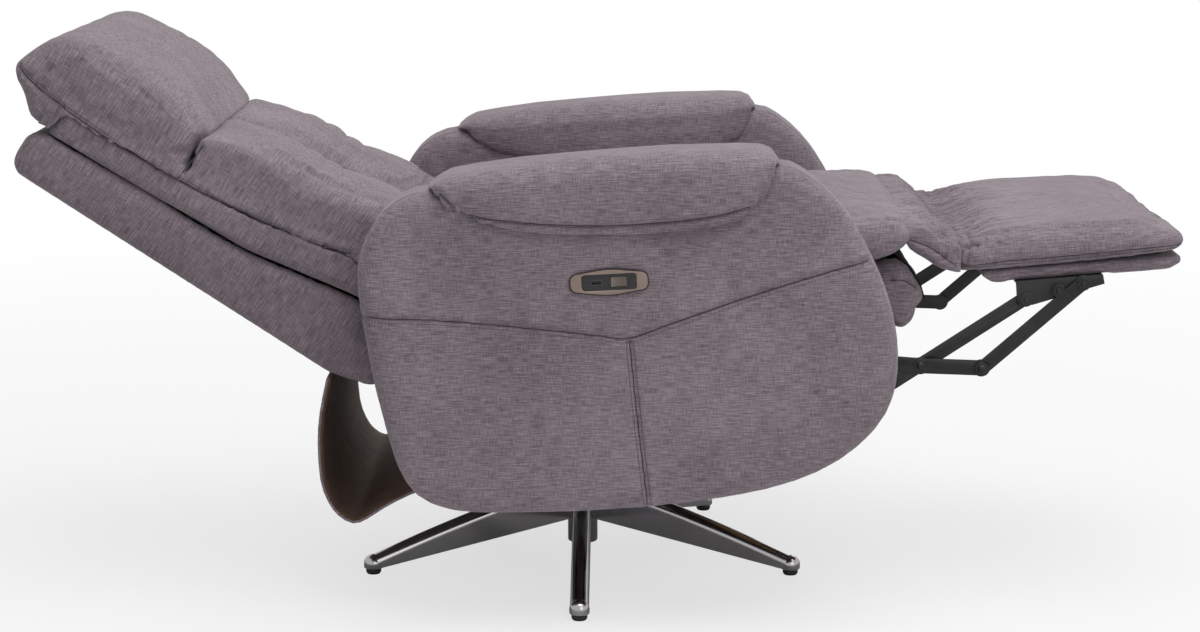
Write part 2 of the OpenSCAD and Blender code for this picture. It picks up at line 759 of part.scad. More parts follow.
// Padded skirt below the roll, and the strip of cloth between them
skirt_shares = [
    [0.01, 0.90], [0.25, 0.94], [0.53, 1], [0.76, 0.93], [0.92, 0.70], [1, 0.45], [0.90, 0.24], [0.80, 0],
    [0.66, 0.02], [0.50, 0.24], [0.25, 0.42], [0.01, 0.46]];
skirt_half = skirt_width / 2;
skirt_top = seat_bottom + skirt_drop * 0.448;
skirt_rear = rail_front + shelf_length + 2 * soft_gap;
skirt_edge = 16;

module front_skirt() {
    color(fabric) padded(
        smooth_loop(placed(skirt_shares,
            [skirt_rear, skirt_top - skirt_drop], [skirt_depth, skirt_drop]), 2),
        skirt_half, skirt_edge, 3, function(u) 0, 0);
}

cloth_shares = [[0.58, 1.12], [0.67, 1.03], [0.76, 0.935], [0.92, 0.705], [1, 0.455]];
cloth = 2;
cloth_inset = 10;
module skirt_cloth() {
    away = cloth + 2 * soft_gap;
    line = placed(cloth_shares, [skirt_rear, skirt_top - skirt_drop], [skirt_depth, skirt_drop]);
    color(black_cloth) slab(-skirt_half + cloth_inset, 2 * (skirt_half - cloth_inset))
        polygon(strip(smooth_chain(line, 3), away - cloth, away));
}

// Rear apron: a bent board, bare inside and covered outside,
// from under the rear case to the rear cross beam
apron_top = back_pivot[1] - case_rear * 0.7;
apron_low = hub_top - glide_height * 1.5;
apron_rear = back_pivot_rear + case_rear * 0.94;
apron_front = beam_offset + beam_width / 2;
apron_half = apron_width / 2;
apron_shares = [
    [0.055, 1], [0.015, 0.77], [0, 0.555], [0.01, 0.30], [0.05, 0.145], [0.105, 0.05], [0.18, 0],
    [0.25, 0.03], [0.35, 0.11], [0.49, 0.20], [0.65, 0.27], [0.82, 0.30], [0.998, 0.30]];
function apron_line() = smooth_chain(
    placed(apron_shares, [-apron_rear, apron_low], [apron_rear - apron_front, apron_top - apron_low]), 2);

module rear_apron_board() {
    color(brown_board) slab(-apron_half, apron_width) polygon(strip(apron_line(), 0, apron_thickness));
}

module rear_apron_cover() {
    color(fabric) slab(-apron_half, apron_width) polygon(strip(apron_line(), -apron_thickness, 0));
}

// Control plate
bezel_end_share = 0.62;
module bezel_outline() {
    x = bezel_length / 2;
    z = bezel_height / 2;
    end = z * bezel_end_share;
    corner = bezel_height / 4;
    polygon(rounded([[-x, -end], [0, -z], [x, -end], [x, end], [0, z], [-x, end]],
        [corner, bezel_length, corner, corner, bezel_length, corner]));
}

module insert_outline(gap) {
    x = insert_length / 2 + gap;
    z = insert_height / 2 + gap;
    polygon(rounded([[-x, -z], [x, -z], [x, z], [-x, z]], [for (i = [0:3]) insert_height / 5]));
}

module switch_bezel() {
    color(taupe_metal) at_control() slab(-bezel_thickness, bezel_thickness) difference() {
        bezel_outline();
        insert_outline(seat_gap);
    }
}

rocker_length = 21;
rocker_height = 13;
rocker_x = 13;
rocker_depth = 9;
well_gap = 0.8;
usb_x = -17;
usb_length = 12.6;
usb_height = 5.2;
usb_wall = 1.2;
usb_depth = 14;
axle_radius = 1.5;
insert_proud = 1.5;
rocker_axis_y = insert_proud * 4 / 3;

module switch_insert() {
    color(black_plastic) at_control() difference() {
        slab(-bezel_thickness + insert_proud, insert_depth) insert_outline(0);
        well = [rocker_length / 2 + well_gap, rocker_height / 2 + well_gap];
        translate([rocker_x - well[0], -bezel_thickness - overrun, -well[1]])
            cube([2 * well[0], rocker_depth + overrun, 2 * well[1]]);
        translate([rocker_x, rocker_axis_y, -well[1] - well_gap])
            cylinder(h = 2 * (well[1] + well_gap), r = axle_radius + running_gap);
        slot = [usb_length / 2 + usb_wall + press_gap, usb_height / 2 + usb_wall + press_gap];
        translate([usb_x - slot[0], -bezel_thickness - overrun, -slot[1]])
            cube([2 * slot[0], usb_depth + overrun, 2 * slot[1]]);
    }
}

module usb_socket() {
    front = -bezel_thickness + insert_proud;
    color(zinc) at_control() difference() {
        translate([usb_x - usb_length / 2 - usb_wall, front, -usb_height / 2 - usb_wall])
            cube([usb_length + 2 * usb_wall, usb_depth - insert_proud, usb_height + 2 * usb_wall]);
        translate([usb_x - usb_length / 2, front - overrun, -usb_height / 2])
            cube([usb_length, usb_depth - insert_proud - usb_wall + overrun, usb_height]);
    }
}

rocker_shares = [
    [-0.5, -0.55], [0, -0.20], [0.5, -0.55], [0.5, -0.10], [0.22, 0.35], [-0.22, 0.35], [-0.5, -0.10]];
module rocker_switch() {
    color(chrome) at_control() translate([rocker_x, rocker_axis_y, 0]) {
        translate([0, 0, -rocker_height / 2]) linear_extrude(rocker_height)
            polygon([for (s = rocker_shares) [s[0] * rocker_length, s[1] * rocker_depth]]);
        translate([0, 0, -rocker_height / 2 - 1.6 * well_gap])
            cylinder(h = rocker_height + 3.2 * well_gap, r = axle_radius);
    }
}

// Low voltage inlet under the rear cross beam, open downwards
inlet_radius = 7.2;
inlet_bore = 3;
inlet_length = 12;
inlet_share = 0.75;
module power_inlet() {
    color(black_plastic) translate([-beam_offset, -arm_inner * inlet_share, carcass_bottom])
    mirror([0, 0, 1]) difference() {
        cylinder(h = inlet_length, r = inlet_radius);
        translate([0, 0, inlet_length / 4]) cylinder(h = inlet_length, r = inlet_bore);
    }
}

// Actuator between the rear cross beam and the drive tube's lugs
motor_pivot = [-motor_pivot_rear, carcass_bottom + beam_height + motor_clearance + motor_radius];
rod_angle = atan2(rod_pivot[1] - motor_pivot[1], rod_pivot[0] - motor_pivot[0]);
rod_length = norm(rod_pivot - motor_pivot);
eye_radius = rod_radius * 1.25;

module actuator_bracket() {
    half = eye_half + seat_gap;
    width = link_width * 0.8;
    knee = [motor_pivot[0] + link_width / 2, carcass_bottom + beam_height + width / 2];
    foot = [-beam_offset - beam_width / 6, knee[1]];
    color(black_steel) {
        for (s = [0, 1]) sided(s == 1) slab(-half - lug_thickness, lug_thickness)
            link_bar([motor_pivot, knee, foot], [link_width, width, width]);
        translate([-beam_offset - beam_width / 2, -half - lug_thickness, knee[1] - width / 2])
            cube([beam_width * 2 / 3, 2 * (half + lug_thickness), lug_thickness]);
        cross_bar(motor_pivot, -half, half, pin_radius);
    }
}

module at_actuator() {
    translate([motor_pivot[0], 0, motor_pivot[1]]) rotate([0, -rod_angle, 0]) children();
}

motor_tube_end = rod_length * 0.693;
gearbox_length = 90;
gearbox_drop = 34;
module actuator_motor() {
    color(black_plastic) at_actuator() difference() {
        union() {
            rotate([0, 90, 0]) translate([0, 0, 2 * eye_radius])
                cylinder(h = motor_tube_end - 2 * eye_radius, r = motor_radius);
            translate([0, -eye_half, -eye_radius]) cube([3 * eye_radius, 2 * eye_half, 2 * eye_radius]);
            translate([0, eye_half, 0]) rotate([90, 0, 0]) cylinder(h = 2 * eye_half, r = eye_radius);
            translate([2.4 * eye_radius, -motor_radius, -motor_radius])
                cube([gearbox_length, 2 * motor_radius + gearbox_drop, 2 * motor_radius]);
        }
        translate([0, eye_half + overrun, 0]) rotate([90, 0, 0])
            cylinder(h = 2 * (eye_half + overrun), r = pin_radius + running_gap);
        rotate([0, 90, 0]) translate([0, 0, rod_room_start])
            cylinder(h = motor_tube_end, r = rod_radius + running_gap);
    }
}

rod_room_start = 3.4 * eye_radius + gearbox_length;
module actuator_rod() {
    inside = rod_room_start + gearbox_length * 1.22;
    eye_start = rod_length - 3.8 * eye_radius;
    color(zinc) at_actuator() difference() {
        union() {
            rotate([0, 90, 0]) translate([0, 0, inside])
                cylinder(h = eye_start + eye_radius / 5 - inside, r = rod_radius);
            translate([eye_start, -eye_half, -eye_radius])
                cube([3.8 * eye_radius, 2 * eye_half, 2 * eye_radius]);
            translate([rod_length, eye_half, 0]) rotate([90, 0, 0])
                cylinder(h = 2 * eye_half, r = eye_radius);
        }
        translate([rod_length, eye_half + overrun, 0]) rotate([90, 0, 0])
            cylinder(h = 2 * (eye_half + overrun), r = pin_radius + running_gap);
    }
}

// The back's own frame: X to its front and Z up its length, with its pivot at zero
module at_back() {
    translate([back_pivot[0], 0, back_pivot[1]]) rotate([0, back_angle - 90, 0]) children();
}

notch_top = link_width * 2.1;
notch_rear = link_width * 3.4;
neck_half = plane_inner(1) - plate_thickness;
module bracket_room() {
    for (s = [0, 1]) sided(s == 1) translate([-notch_rear, -back_width, -back_width])
        cube([back_width, back_width - neck_half, back_width + notch_top]);
}

case_mid_depth = (case_top_depth + case_low_depth) * 0.4545;
case_front_top = [-case_rear + case_top_depth, case_length * 0.966];
case_front_mid = [-case_rear + case_mid_depth, case_length * 0.413];
case_front_low = [-case_rear + case_low_depth, case_length * 0.127];
case_corners = [
    [-case_rear, case_length], [-case_rear, case_length * 0.08], [-case_rear + case_below, -case_below],
    [case_front_low[0], -case_below], case_front_low, case_front_mid, case_front_top,
    [-case_rear + case_top_depth * 0.75, case_length]];
case_radii = case_top_depth * [0.25, 0.9, 0.12, 0.12, 0.9, 3, 0.12, 0.18];
case_edge = 16;

module back_shell() {
    inner_top = case_length - case_wall * 1.7;
    inner_rear = -case_rear + case_wall;
    inner_low = -case_below + 2 * case_wall;
    over = [overrun, 0];
    color(fabric) at_back() difference() {
        padded(rounded(case_corners, case_radii), back_width / 2, case_edge, 1, function(u) 0, 0);
        slab(-neck_half + case_wall, 2 * (neck_half - case_wall)) polygon([
            [inner_rear, inner_low], [case_front_low[0] - case_wall / 2, inner_low],
            case_front_low + over - [0, case_wall], case_front_low + over, case_front_mid + over,
            [case_front_top[0] + overrun, inner_top - case_wall], [inner_rear, inner_top]]);
        bracket_room();
    }
}

frame_half = neck_half - case_wall - seat_gap;
frame_rear = -case_rear + case_wall + seat_gap;
frame_low = -case_below + 2 * case_wall + seat_gap;
frame_top = case_length - 4 * case_wall;
upright_width = case_wall * 2.5;
upright_depth = case_wall * 2.8;

module back_uprights() {
    color(wood) at_back() for (s = [0, 1]) sided(s == 1)
        translate([frame_rear, -frame_half, frame_low])
            cube([upright_depth, upright_width, frame_top - frame_low]);
}

module back_rails() {
    inner = frame_half - upright_width;
    tall = case_wall * 5;
    color(wood) at_back() for (z = [frame_low, (frame_low + frame_top) * 0.6, frame_top - tall])
        translate([frame_rear, -inner, z]) cube([upright_depth * 0.6, 2 * inner, tall]);
}

module back_springs() {
    length = frame_top - frame_low - 4 * spring_inset;
    front = frame_rear + upright_depth * 0.6;
    pieces = 4;
    color(zinc) at_back() for (i = [0:pieces - 1])
        translate([front, (i - (pieces - 1) / 2) * frame_half * 0.42, frame_low + 2 * spring_inset])
            rotate([0, -90, 0]) mirror([0, 0, 1]) spring(length);
}

// Cushions of the back, on outlines in the back's own frame
lumbar_top = case_length * 0.625;
backing_front_top = case_front_top + [backing_depth, 0];
backing_front_knee = [backing_front_top[0] + 2 * soft_gap, lumbar_top + backing_depth * 0.1];
backing_front_mid = case_front_mid + [backing_depth, 0];
backing_front_low = case_front_low + [backing_depth, backing_depth * 0.9];
backing_low = -backing_depth * 0.14;
backing_foot = [case_front_low[0] + backing_depth * 0.95, backing_low];
backing_radii = backing_depth * [0.1, 4.5, 1.35, 0.1, 0.22, 1.35, 4.5, 4.5, 0.22];

band_edge = 14;
module back_cushion() {
    off = [2 * soft_gap, 0];
    outline = rounded([
        case_front_top + off, case_front_mid + off, case_front_low + off,
        [case_front_low[0] + soft_gap, backing_low], backing_foot, backing_front_low, backing_front_mid,
        backing_front_knee, backing_front_top], backing_radii);
    color(seam_fabric) at_back() difference() {
        padded(outline, back_width / 2, band_edge, 1, function(u) 0, 0,
            [backing_front_low[0], undef], 5);
        bracket_room();
    }
}

lumbar_foot = 2 * backing_low;
pillow_edge = 34;
lumbar_shares = [
    [0.54, 1], [0.70, 0.93], [0.79, 0.83], [0.815, 0.70], [0.83, 0.60], [0.88, 0.505], [0.955, 0.39],
    [1, 0.265], [0.97, 0.13], [0.82, 0.03], [0.60, 0]];
function valley(u) = -lumbar_valley * pow(cos(min(2 * abs(u), 1) * 90), 2);
module lumbar_cushion() {
    rear = backing_front_mid[0] - backing_depth * 0.27;
    deep = lumbar_depth + backing_depth * 0.55;
    front = placed(lumbar_shares, [rear, lumbar_foot], [deep, lumbar_top - lumbar_foot]);
    off = [5 * soft_gap, 0];
    color(fabric) at_back() difference() {
        padded(concat(
            smooth_chain(front, 2),
            [[backing_foot[0] + 4 * soft_gap, lumbar_foot / 3], backing_front_low + off,
             backing_front_mid + off, [backing_front_knee[0] + 2 * soft_gap, lumbar_top]]),
            head_width / 2 - 6 * soft_gap, pillow_edge, 10, function(u) valley(u), 0,
            [backing_front_knee[0], lumbar_top]);
        bracket_room();
    }
}

head_crown = 6;
head_shares = [
    [0, 0.775], [0.08, 0.84], [0.24, 0.90], [0.40, 0.965], [0.56, 1], [0.76, 0.985], [0.93, 0.90],
    [0.985, 0.76], [1, 0.56], [0.90, 0.40], [0.68, 0.22], [0.42, 0.04]];
module head_cushion() {
    low = lumbar_top + soft_gap;
    high = case_length + head_rise;
    rear = case_front_top[0] + backing_depth * 0.11;
    wide = head_depth + backing_depth * 1.05;
    off = backing_depth * 0.045;
    seam = [backing_front_knee[0] + off, low];
    color(fabric) at_back() padded(concat(
        [seam, backing_front_top + [off, -backing_depth * 0.68], backing_front_top + [0, 2 * off],
         case_front_top + backing_depth * [0.14, 0.18]],
        smooth_chain(placed(head_shares, [rear, low], [wide, high - low]), 2)),
        head_width / 2, pillow_edge, 6, function(u) head_crown * (1 - u * u), 0, seam);
}

module back_bracket(left) {
    up = [-cos(back_angle), sin(back_angle)];
    top = back_pivot + link_width * 1.45 * up;
    sided(left) color(black_steel) {
        in_plane(1) difference() {
            link_bar([top, back_pivot, back_crank], [link_width, link_width * 1.2, link_width]);
            link_hole(back_pivot, running_gap);
        }
        rivet_between(back_crank, 1, 2);
        cross_bar(top, -plane_inner(1), -neck_half, head_radius);
    }
}

// The legrest's own frame: X along it, Z square to it, with the bracket's rear pivot at zero
module at_legrest() {
    translate([bracket_pivot[0], 0, bracket_pivot[1]]) rotate([0, -legrest_rise, 0]) children();
}

board_low = board_lift_height;
flange_width = 25;
bracket_rear = -link_width * 0.55;
bracket_front = bracket_span * 1.33;
bracket_toe = link_width * 0.41;
bracket_nose = link_width * [1.36, -0.18];
module legrest_bracket(left) {
    lean = bracket_angle - legrest_rise;
    far = bracket_span * [cos(lean), sin(lean)];
    sided(left) color(black_steel) {
        at_legrest() {
            in_plane(1) difference() {
                union() {
                    polygon([[bracket_rear, board_low], [bracket_rear, 0], [-bracket_toe, -bracket_toe],
                             [bracket_toe, -bracket_toe], far + bracket_nose, [bracket_front, board_low]]);
                    circle(d = link_width);
                }
                circle(r = press_gap);
            }
            translate([bracket_rear, -plane_outer(1), board_low - plate_thickness])
                cube([bracket_front - bracket_rear, flange_width, plate_thickness]);
        }
        rivet_between(bracket_pivot, 1, 2);
        cross_bar(bracket_pivot, -plane_outer(1) - head_height, -plane_outer(1), head_radius);
    }
}

board_rear = -legrest_length * 0.186;
legrest_rear = -legrest_length * 0.2704;
pad_low = board_low + legrest_board_thickness + soft_gap;
board_edge = 6;
board_radius_shares = [0.18, 0.3, 0.6, 0.6, 0.3, 0.18];
module legrest_board() {
    top = board_low + legrest_board_thickness;
    front = legrest_rear + legrest_length * 0.974;
    side = board_low + legrest_board_thickness * 0.53;
    color(fabric) at_legrest() padded(
        rounded([[board_rear, top], [board_rear, side], [board_rear + legrest_board_thickness, board_low],
                 [front - legrest_board_thickness, board_low], [front, side], [front, top]],
                legrest_board_thickness * board_radius_shares),
        legrest_width / 2 - 2 * board_edge, board_edge, 1, function(u) 0, 1);
}

legrest_shares = [
    [0, 0.10], [0.02, 0], [0.30, 0.01], [0.65, 0.04], [0.90, 0.12], [0.975, 0.22], [1, 0.40],
    [0.985, 0.62], [0.94, 0.80], [0.82, 0.90], [0.62, 0.97], [0.40, 1], [0.20, 0.98], [0.06, 0.90],
    [0, 0.72]];
pad_edge = 20;
legrest_crown = 5;
module legrest_pad() {
    color(fabric) at_legrest() padded(
        smooth_chain(placed(legrest_shares,
            [legrest_rear, pad_low], [legrest_length, legrest_thickness]), 2),
        legrest_width / 2, pad_edge, 6, function(u) legrest_crown * (1 - u * u), 1);
}

// Padded flap that bridges from the seat roll to the legrest pad
flap_gap = 4;
flap_rear = seat_front + flap_gap;
flap_low = deck_height + seat_roll_height - flap_height - seat_gap * 7;
flap_edge = 16;
flap_crown = 4;
flap_shares = [
    [0, 0.72], [0.05, 0.65], [0.16, 0.47], [0.38, 0.25], [0.66, 0.07], [0.97, 0.02], [1, 0.10], [1, 0.50],
    [0.97, 0.58], [0.80, 0.60], [0.60, 0.70], [0.36, 0.92], [0.16, 1], [0.03, 0.97]];
module legrest_flap() {
    color(fabric) padded(
        smooth_loop(placed(flap_shares, [flap_rear, flap_low], [flap_length, flap_height]), 2),
        legrest_width / 2, flap_edge, 5, function(u) flap_crown * (1 - u * u), 1);
}

star_base();
foot_glides();
swivel_post();
bearing_plate();
thrust_ring();
swivel_plate();
plate_bolts();
cross_beams();
arm_frame(false);  // arm_frame_right
arm_frame(true);  // arm_frame_left
arm_cover(false);  // arm_cover_right
arm_cover(true);  // arm_cover_left
arm_pad(false);  // arm_pad_right
arm_pad(true);  // arm_pad_left
side_rail(false);  // side_rail_right
side_rail(true);  // side_rail_left
side_plate(false);  // side_plate_right
side_plate(true);  // side_plate_left
front_rail();
rear_rail();
seat_springs();
seat_cushion();
front_skirt();
skirt_cloth();
rear_apron_board();
rear_apron_cover();
switch_bezel();
switch_insert();
usb_socket();
rocker_switch();
power_inlet();
actuator_bracket();
back_shell();
back_uprights();
back_rails();
back_springs();
back_cushion();
lumbar_cushion();
head_cushion();
back_bracket(false);  // back_bracket_right
back_bracket(true);  // back_bracket_left
front_link(false);  // front_link_right
front_link(true);  // front_link_left
lift_link(false);  // lift_link_right
lift_link(true);  // lift_link_left
upper_link(false);  // upper_link_right
upper_link(true);  // upper_link_left
rear_link(false);  // rear_link_right
rear_link(true);  // rear_link_left
drive_tube();
recline_link(false);  // recline_link_right
recline_link(true);  // recline_link_left
actuator_motor();
actuator_rod();
legrest_bracket(false);  // legrest_bracket_right
legrest_bracket(true);  // legrest_bracket_left
legrest_board();
legrest_pad();
legrest_flap();
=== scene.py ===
# %% [markdown]
# # A powered swivel recliner on a chromed star base
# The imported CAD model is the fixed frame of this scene. It gives every part its true size and place,
# and the cells below dress it: cushions are blown up as cloth, seams are pressed in and stitched,
# steel gets its worn edges, and every finish is worked out from noise and simple sums.

import json
import math

import bmesh
import bpy
import numpy as np
from mathutils import Matrix, Vector
from mathutils.bvhtree import BVHTree
from mathutils.kdtree import KDTree


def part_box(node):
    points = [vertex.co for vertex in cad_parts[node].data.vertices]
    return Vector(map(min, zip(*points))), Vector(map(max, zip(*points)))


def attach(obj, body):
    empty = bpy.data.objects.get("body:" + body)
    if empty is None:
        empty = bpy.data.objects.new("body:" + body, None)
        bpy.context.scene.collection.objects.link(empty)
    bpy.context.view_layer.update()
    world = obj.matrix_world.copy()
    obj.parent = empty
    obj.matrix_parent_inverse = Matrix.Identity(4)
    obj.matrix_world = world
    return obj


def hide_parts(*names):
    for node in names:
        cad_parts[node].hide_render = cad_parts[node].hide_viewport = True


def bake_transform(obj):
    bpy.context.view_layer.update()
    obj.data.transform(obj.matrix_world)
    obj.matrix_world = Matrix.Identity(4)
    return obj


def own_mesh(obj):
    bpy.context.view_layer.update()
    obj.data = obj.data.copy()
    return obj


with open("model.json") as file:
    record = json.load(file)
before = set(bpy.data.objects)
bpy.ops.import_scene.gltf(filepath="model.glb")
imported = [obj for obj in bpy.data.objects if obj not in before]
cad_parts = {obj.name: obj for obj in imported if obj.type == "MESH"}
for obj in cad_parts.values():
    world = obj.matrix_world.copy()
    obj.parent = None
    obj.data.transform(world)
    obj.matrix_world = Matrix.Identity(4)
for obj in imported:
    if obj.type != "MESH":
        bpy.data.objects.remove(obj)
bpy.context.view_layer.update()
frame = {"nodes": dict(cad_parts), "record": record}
cad_nodes = frame["nodes"]

# %% [markdown]
# ## Camera
# The photograph is taken from the sitter's right with a long lens, a little above the arm. A long lens
# keeps the far arm almost as large as the near one, so its place was solved from both arms at once.

# %% Camera
camera_data = bpy.data.cameras.new("photo_view")
camera_data.sensor_fit = "HORIZONTAL"
camera_data.sensor_width = 36
camera_data.lens = 79.62
camera = bpy.data.objects.new("photo_view", camera_data)
camera.location = (0.057, -3.821, 1.111)
camera.rotation_euler = (math.radians(90 - 11.08), 0, math.radians(0.47))
bpy.context.scene.collection.objects.link(camera)
bpy.context.scene.camera = camera
print("camera:", camera_data.lens, "mm at", [round(v, 3) for v in camera.location])

# %% [markdown]
# ## Shader sums
# A material is easier to read as an expression than as a list of links. `Tone` wraps one output socket,
# and its operators add the Math nodes. `Finish` starts a material and adds any other kind of node.

# %% Shader expressions
class Tone:
    """One output socket of a node, with arithmetic."""

    def __init__(self, finish, socket):
        self.finish, self.socket = finish, socket

    def sum(self, operation, other=None, clamp=False, swap=False):
        values = [self] if other is None else ([other, self] if swap else [self, other])
        return self.finish.add("ShaderNodeMath", {"operation": operation, "use_clamp": clamp},
                               dict(enumerate(values)))

    def __add__(self, other): return self.sum("ADD", other)
    def __radd__(self, other): return self.sum("ADD", other)
    def __sub__(self, other): return self.sum("SUBTRACT", other)
    def __rsub__(self, other): return self.sum("SUBTRACT", other, swap=True)
    def __mul__(self, other): return self.sum("MULTIPLY", other)
    def __rmul__(self, other): return self.sum("MULTIPLY", other)
    def __truediv__(self, other): return self.sum("DIVIDE", other)
    def __pow__(self, other): return self.sum("POWER", other)
    def clamped(self): return self.sum("ADD", 0.0, clamp=True)


class Finish:
    """A material under construction. add() makes a node: its settings first, then its sockets."""

    def __init__(self, name):
        self.material = bpy.data.materials.new(name)
        self.material.use_nodes = True
        self.tree = self.material.node_tree
        self.tree.nodes.clear()

    def add(self, kind, settings=None, sockets=None, out=0):
        node = self.tree.nodes.new(kind)
        for key, value in (settings or {}).items():
            if key == "stops":
                ramp = node.color_ramp
                while len(ramp.elements) < len(value):
                    ramp.elements.new(0.5)
                for element, (place, colour) in zip(ramp.elements, value):
                    element.position = place
                    element.color = (*colour, 1)
            else:
                setattr(node, key, value)
        for key, value in (sockets or {}).items():
            if isinstance(value, Tone):
                self.tree.links.new(value.socket, node.inputs[key])
            else:
                node.inputs[key].default_value = value
        return Tone(self, node.outputs[out])

    def scaled(self, vector, factors):
        return self.add("ShaderNodeVectorMath", {"operation": "MULTIPLY"}, {0: vector, 1: factors})

    def noise(self, vector, factors, detail=2.0, rough=0.5, flat=False):
        return self.add("ShaderNodeTexNoise", {"noise_dimensions": "2D" if flat else "3D"},
                        {"Vector": self.scaled(vector, factors), "Scale": 1.0, "Detail": detail,
                         "Roughness": rough})

    def place(self):
        return self.add("ShaderNodeTexCoord", out=3)

    def weave(self):
        return self.add("ShaderNodeUVMap", {"uv_map": "weave"})

    def mixed(self, factor, a, b):
        return self.add("ShaderNodeMix", {"data_type": "RGBA"}, {0: factor, 6: a, 7: b}, out=2)

    def ramp(self, factor, *stops):
        return self.add("ShaderNodeValToRGB", {"stops": stops}, {"Fac": factor})

    def bump(self, height, strength, distance):
        return self.add("ShaderNodeBump", None, {"Height": height, "Strength": strength, "Distance": distance})

    def surface(self, **sockets):
        names = {key.replace("_", " "): value for key, value in sockets.items()}
        shader = self.add("ShaderNodeBsdfPrincipled", None, names)
        return self.finish_with(shader)

    def finish_with(self, shader):
        output = self.tree.nodes.new("ShaderNodeOutputMaterial")
        self.tree.links.new(shader.socket, output.inputs["Surface"])
        return self.material


def rgb(*parts):
    """A colour written as it looks on a screen, 0 to 255, as the linear colour that a socket takes."""
    return tuple(((p / 255 + 0.055) / 1.055) ** 2.4 if p > 10 else p / 255 / 12.92 for p in parts)


def rgba(*parts):
    return (*rgb(*parts), 1.0)


print("shader helpers ready; mid grey is", [round(v, 3) for v in rgb(128, 128, 128)])

# %% [markdown]
# ## Upholstery cloth
# The cover is a soft heathered weave: short slubs run both ways across it, a shade lighter or darker
# than the ground, and brushing leaves faint clouds. The slubs are noise stretched along the thread, read
# from a map laid over each piece in metres, so they keep their size and turn with the cloth.

# %% Cloth materials
def woven(name, dark, ground, light, contrast=1.0, nap=0.5, sheen=0.28):
    f = Finish(name)
    cloth, place = f.weave(), f.place()
    along = f.noise(cloth, (46, 640, 1), 3.0, 0.6, flat=True)
    across = f.noise(cloth, (860, 70, 1), 2.0, 0.6, flat=True)
    speck = f.noise(cloth, (1300, 1300, 1), 1.0, 0.6, flat=True)
    clouds = f.noise(place, (6, 6, 6), 3.0, 0.55)
    patches = f.noise(place, (23, 23, 23), 3.0, 0.6)
    thread = (along - 0.5) * 0.9 + (across - 0.5) * 0.55 + (speck - 0.5) * 0.5
    tone = thread * contrast + (clouds - 0.5) * nap + (patches - 0.5) * (nap * 0.5) + 0.5
    colour = f.ramp(tone.clamped(), (0.08, dark), (0.5, ground), (0.92, light))
    height = (along + across) * 0.5 + speck * 0.5
    rough = (clouds - 0.5) * 0.12 + 0.9
    return f.surface(Base_Color=colour, Roughness=rough, Normal=f.bump(height, 0.45, 0.0007),
                     Sheen_Weight=sheen, Sheen_Roughness=0.45, Sheen_Tint=(0.93, 0.88, 0.9, 1.0),
                     Specular_IOR_Level=0.22)


cover_cloth = woven("cover_cloth", rgb(92, 82, 89), rgb(134, 122, 129), rgb(166, 154, 160), 1.35)
band_cloth = woven("band_cloth", rgb(90, 80, 87), rgb(129, 117, 124), rgb(160, 148, 155), 1.35)
lining_cloth = woven("lining_cloth", rgb(14, 14, 15), rgb(26, 25, 27), rgb(42, 41, 43), 0.8, 0.5, 0.1)


def thread_finish(name, dark, light):
    f = Finish(name)
    place = f.place()
    twist = f.noise(place, (900, 900, 900), 2.0)
    colour = f.ramp(twist, (0.3, dark), (0.7, light))
    return f.surface(Base_Color=colour, Roughness=0.72, Normal=f.bump(twist, 0.4, 0.0002), Sheen_Weight=0.15)


sewing_thread = thread_finish("sewing_thread", rgb(72, 63, 69), rgb(102, 91, 98))
# painted seam shade: a near-black colour for the lines laid in the seams' grooves, where they stand for the shade
# there
painted_seam_shade = thread_finish("painted_seam_shade", rgb(44, 38, 43), rgb(66, 58, 64))
print("cloth:", cover_cloth.name, band_cloth.name, lining_cloth.name, sewing_thread.name, painted_seam_shade.name)

# %% [markdown]
# ## Metal, moulding and wood
# Plated steel is nearly a mirror, but years of wiping leave fine hairlines in its gloss. Powder coat has a
# faint orange peel and is rubbed thin here and there, and plywood shows its grain.

# %% Hard materials
def plated(name, tint, rough, dull=0.1, hairline=240):
    f = Finish(name)
    place = f.place()
    wiped = f.noise(place, (9, 9, 9), 3.0)
    lines = f.noise(place, (hairline, hairline * 0.08, hairline), 2.0)
    colour = f.ramp(wiped, (0.25, tuple(c * 0.9 for c in tint)), (0.75, tint))
    return f.surface(Base_Color=colour, Metallic=1.0, Roughness=(wiped * dull + lines * dull * 0.6 + rough),
                     Normal=f.bump(lines, 0.05, 0.0002))


def coated(name, dark, light, rough=0.38, metallic=0.0, peel=0.12):
    f = Finish(name)
    place = f.place()
    peeled = f.noise(place, (420, 420, 420), 2.0)
    rubbed = f.noise(place, (26, 26, 26), 4.0, 0.6)
    colour = f.ramp(rubbed, (0.35, dark), (0.72, light))
    return f.surface(Base_Color=colour, Metallic=metallic, Roughness=(rubbed * 0.22 + rough - 0.08),
                     Normal=f.bump(peeled, peel, 0.0004))


def moulded(name, dark, light, rough=0.12, coat=0.0):
    f = Finish(name)
    place = f.place()
    smudge = f.noise(place, (55, 55, 55), 3.0)
    colour = f.ramp(smudge, (0.3, dark), (0.8, light))
    return f.surface(Base_Color=colour, Roughness=(smudge * 0.14 + rough), Coat_Weight=coat,
                     Normal=f.bump(smudge, 0.03, 0.0003))


def boarded(name, dark, light, stretch=(3.5, 60, 60), rough=0.62):
    f = Finish(name)
    place = f.place()
    grain = f.noise(place, stretch, 5.0, 0.62)
    pores = f.noise(place, (stretch[0] * 9, 700, 700), 2.0)
    colour = f.ramp((grain * 0.8 + pores * 0.25), (0.32, dark), (0.68, light))
    return f.surface(Base_Color=colour, Roughness=(pores * 0.2 + rough), Normal=f.bump(grain + pores, 0.25, 0.0005))


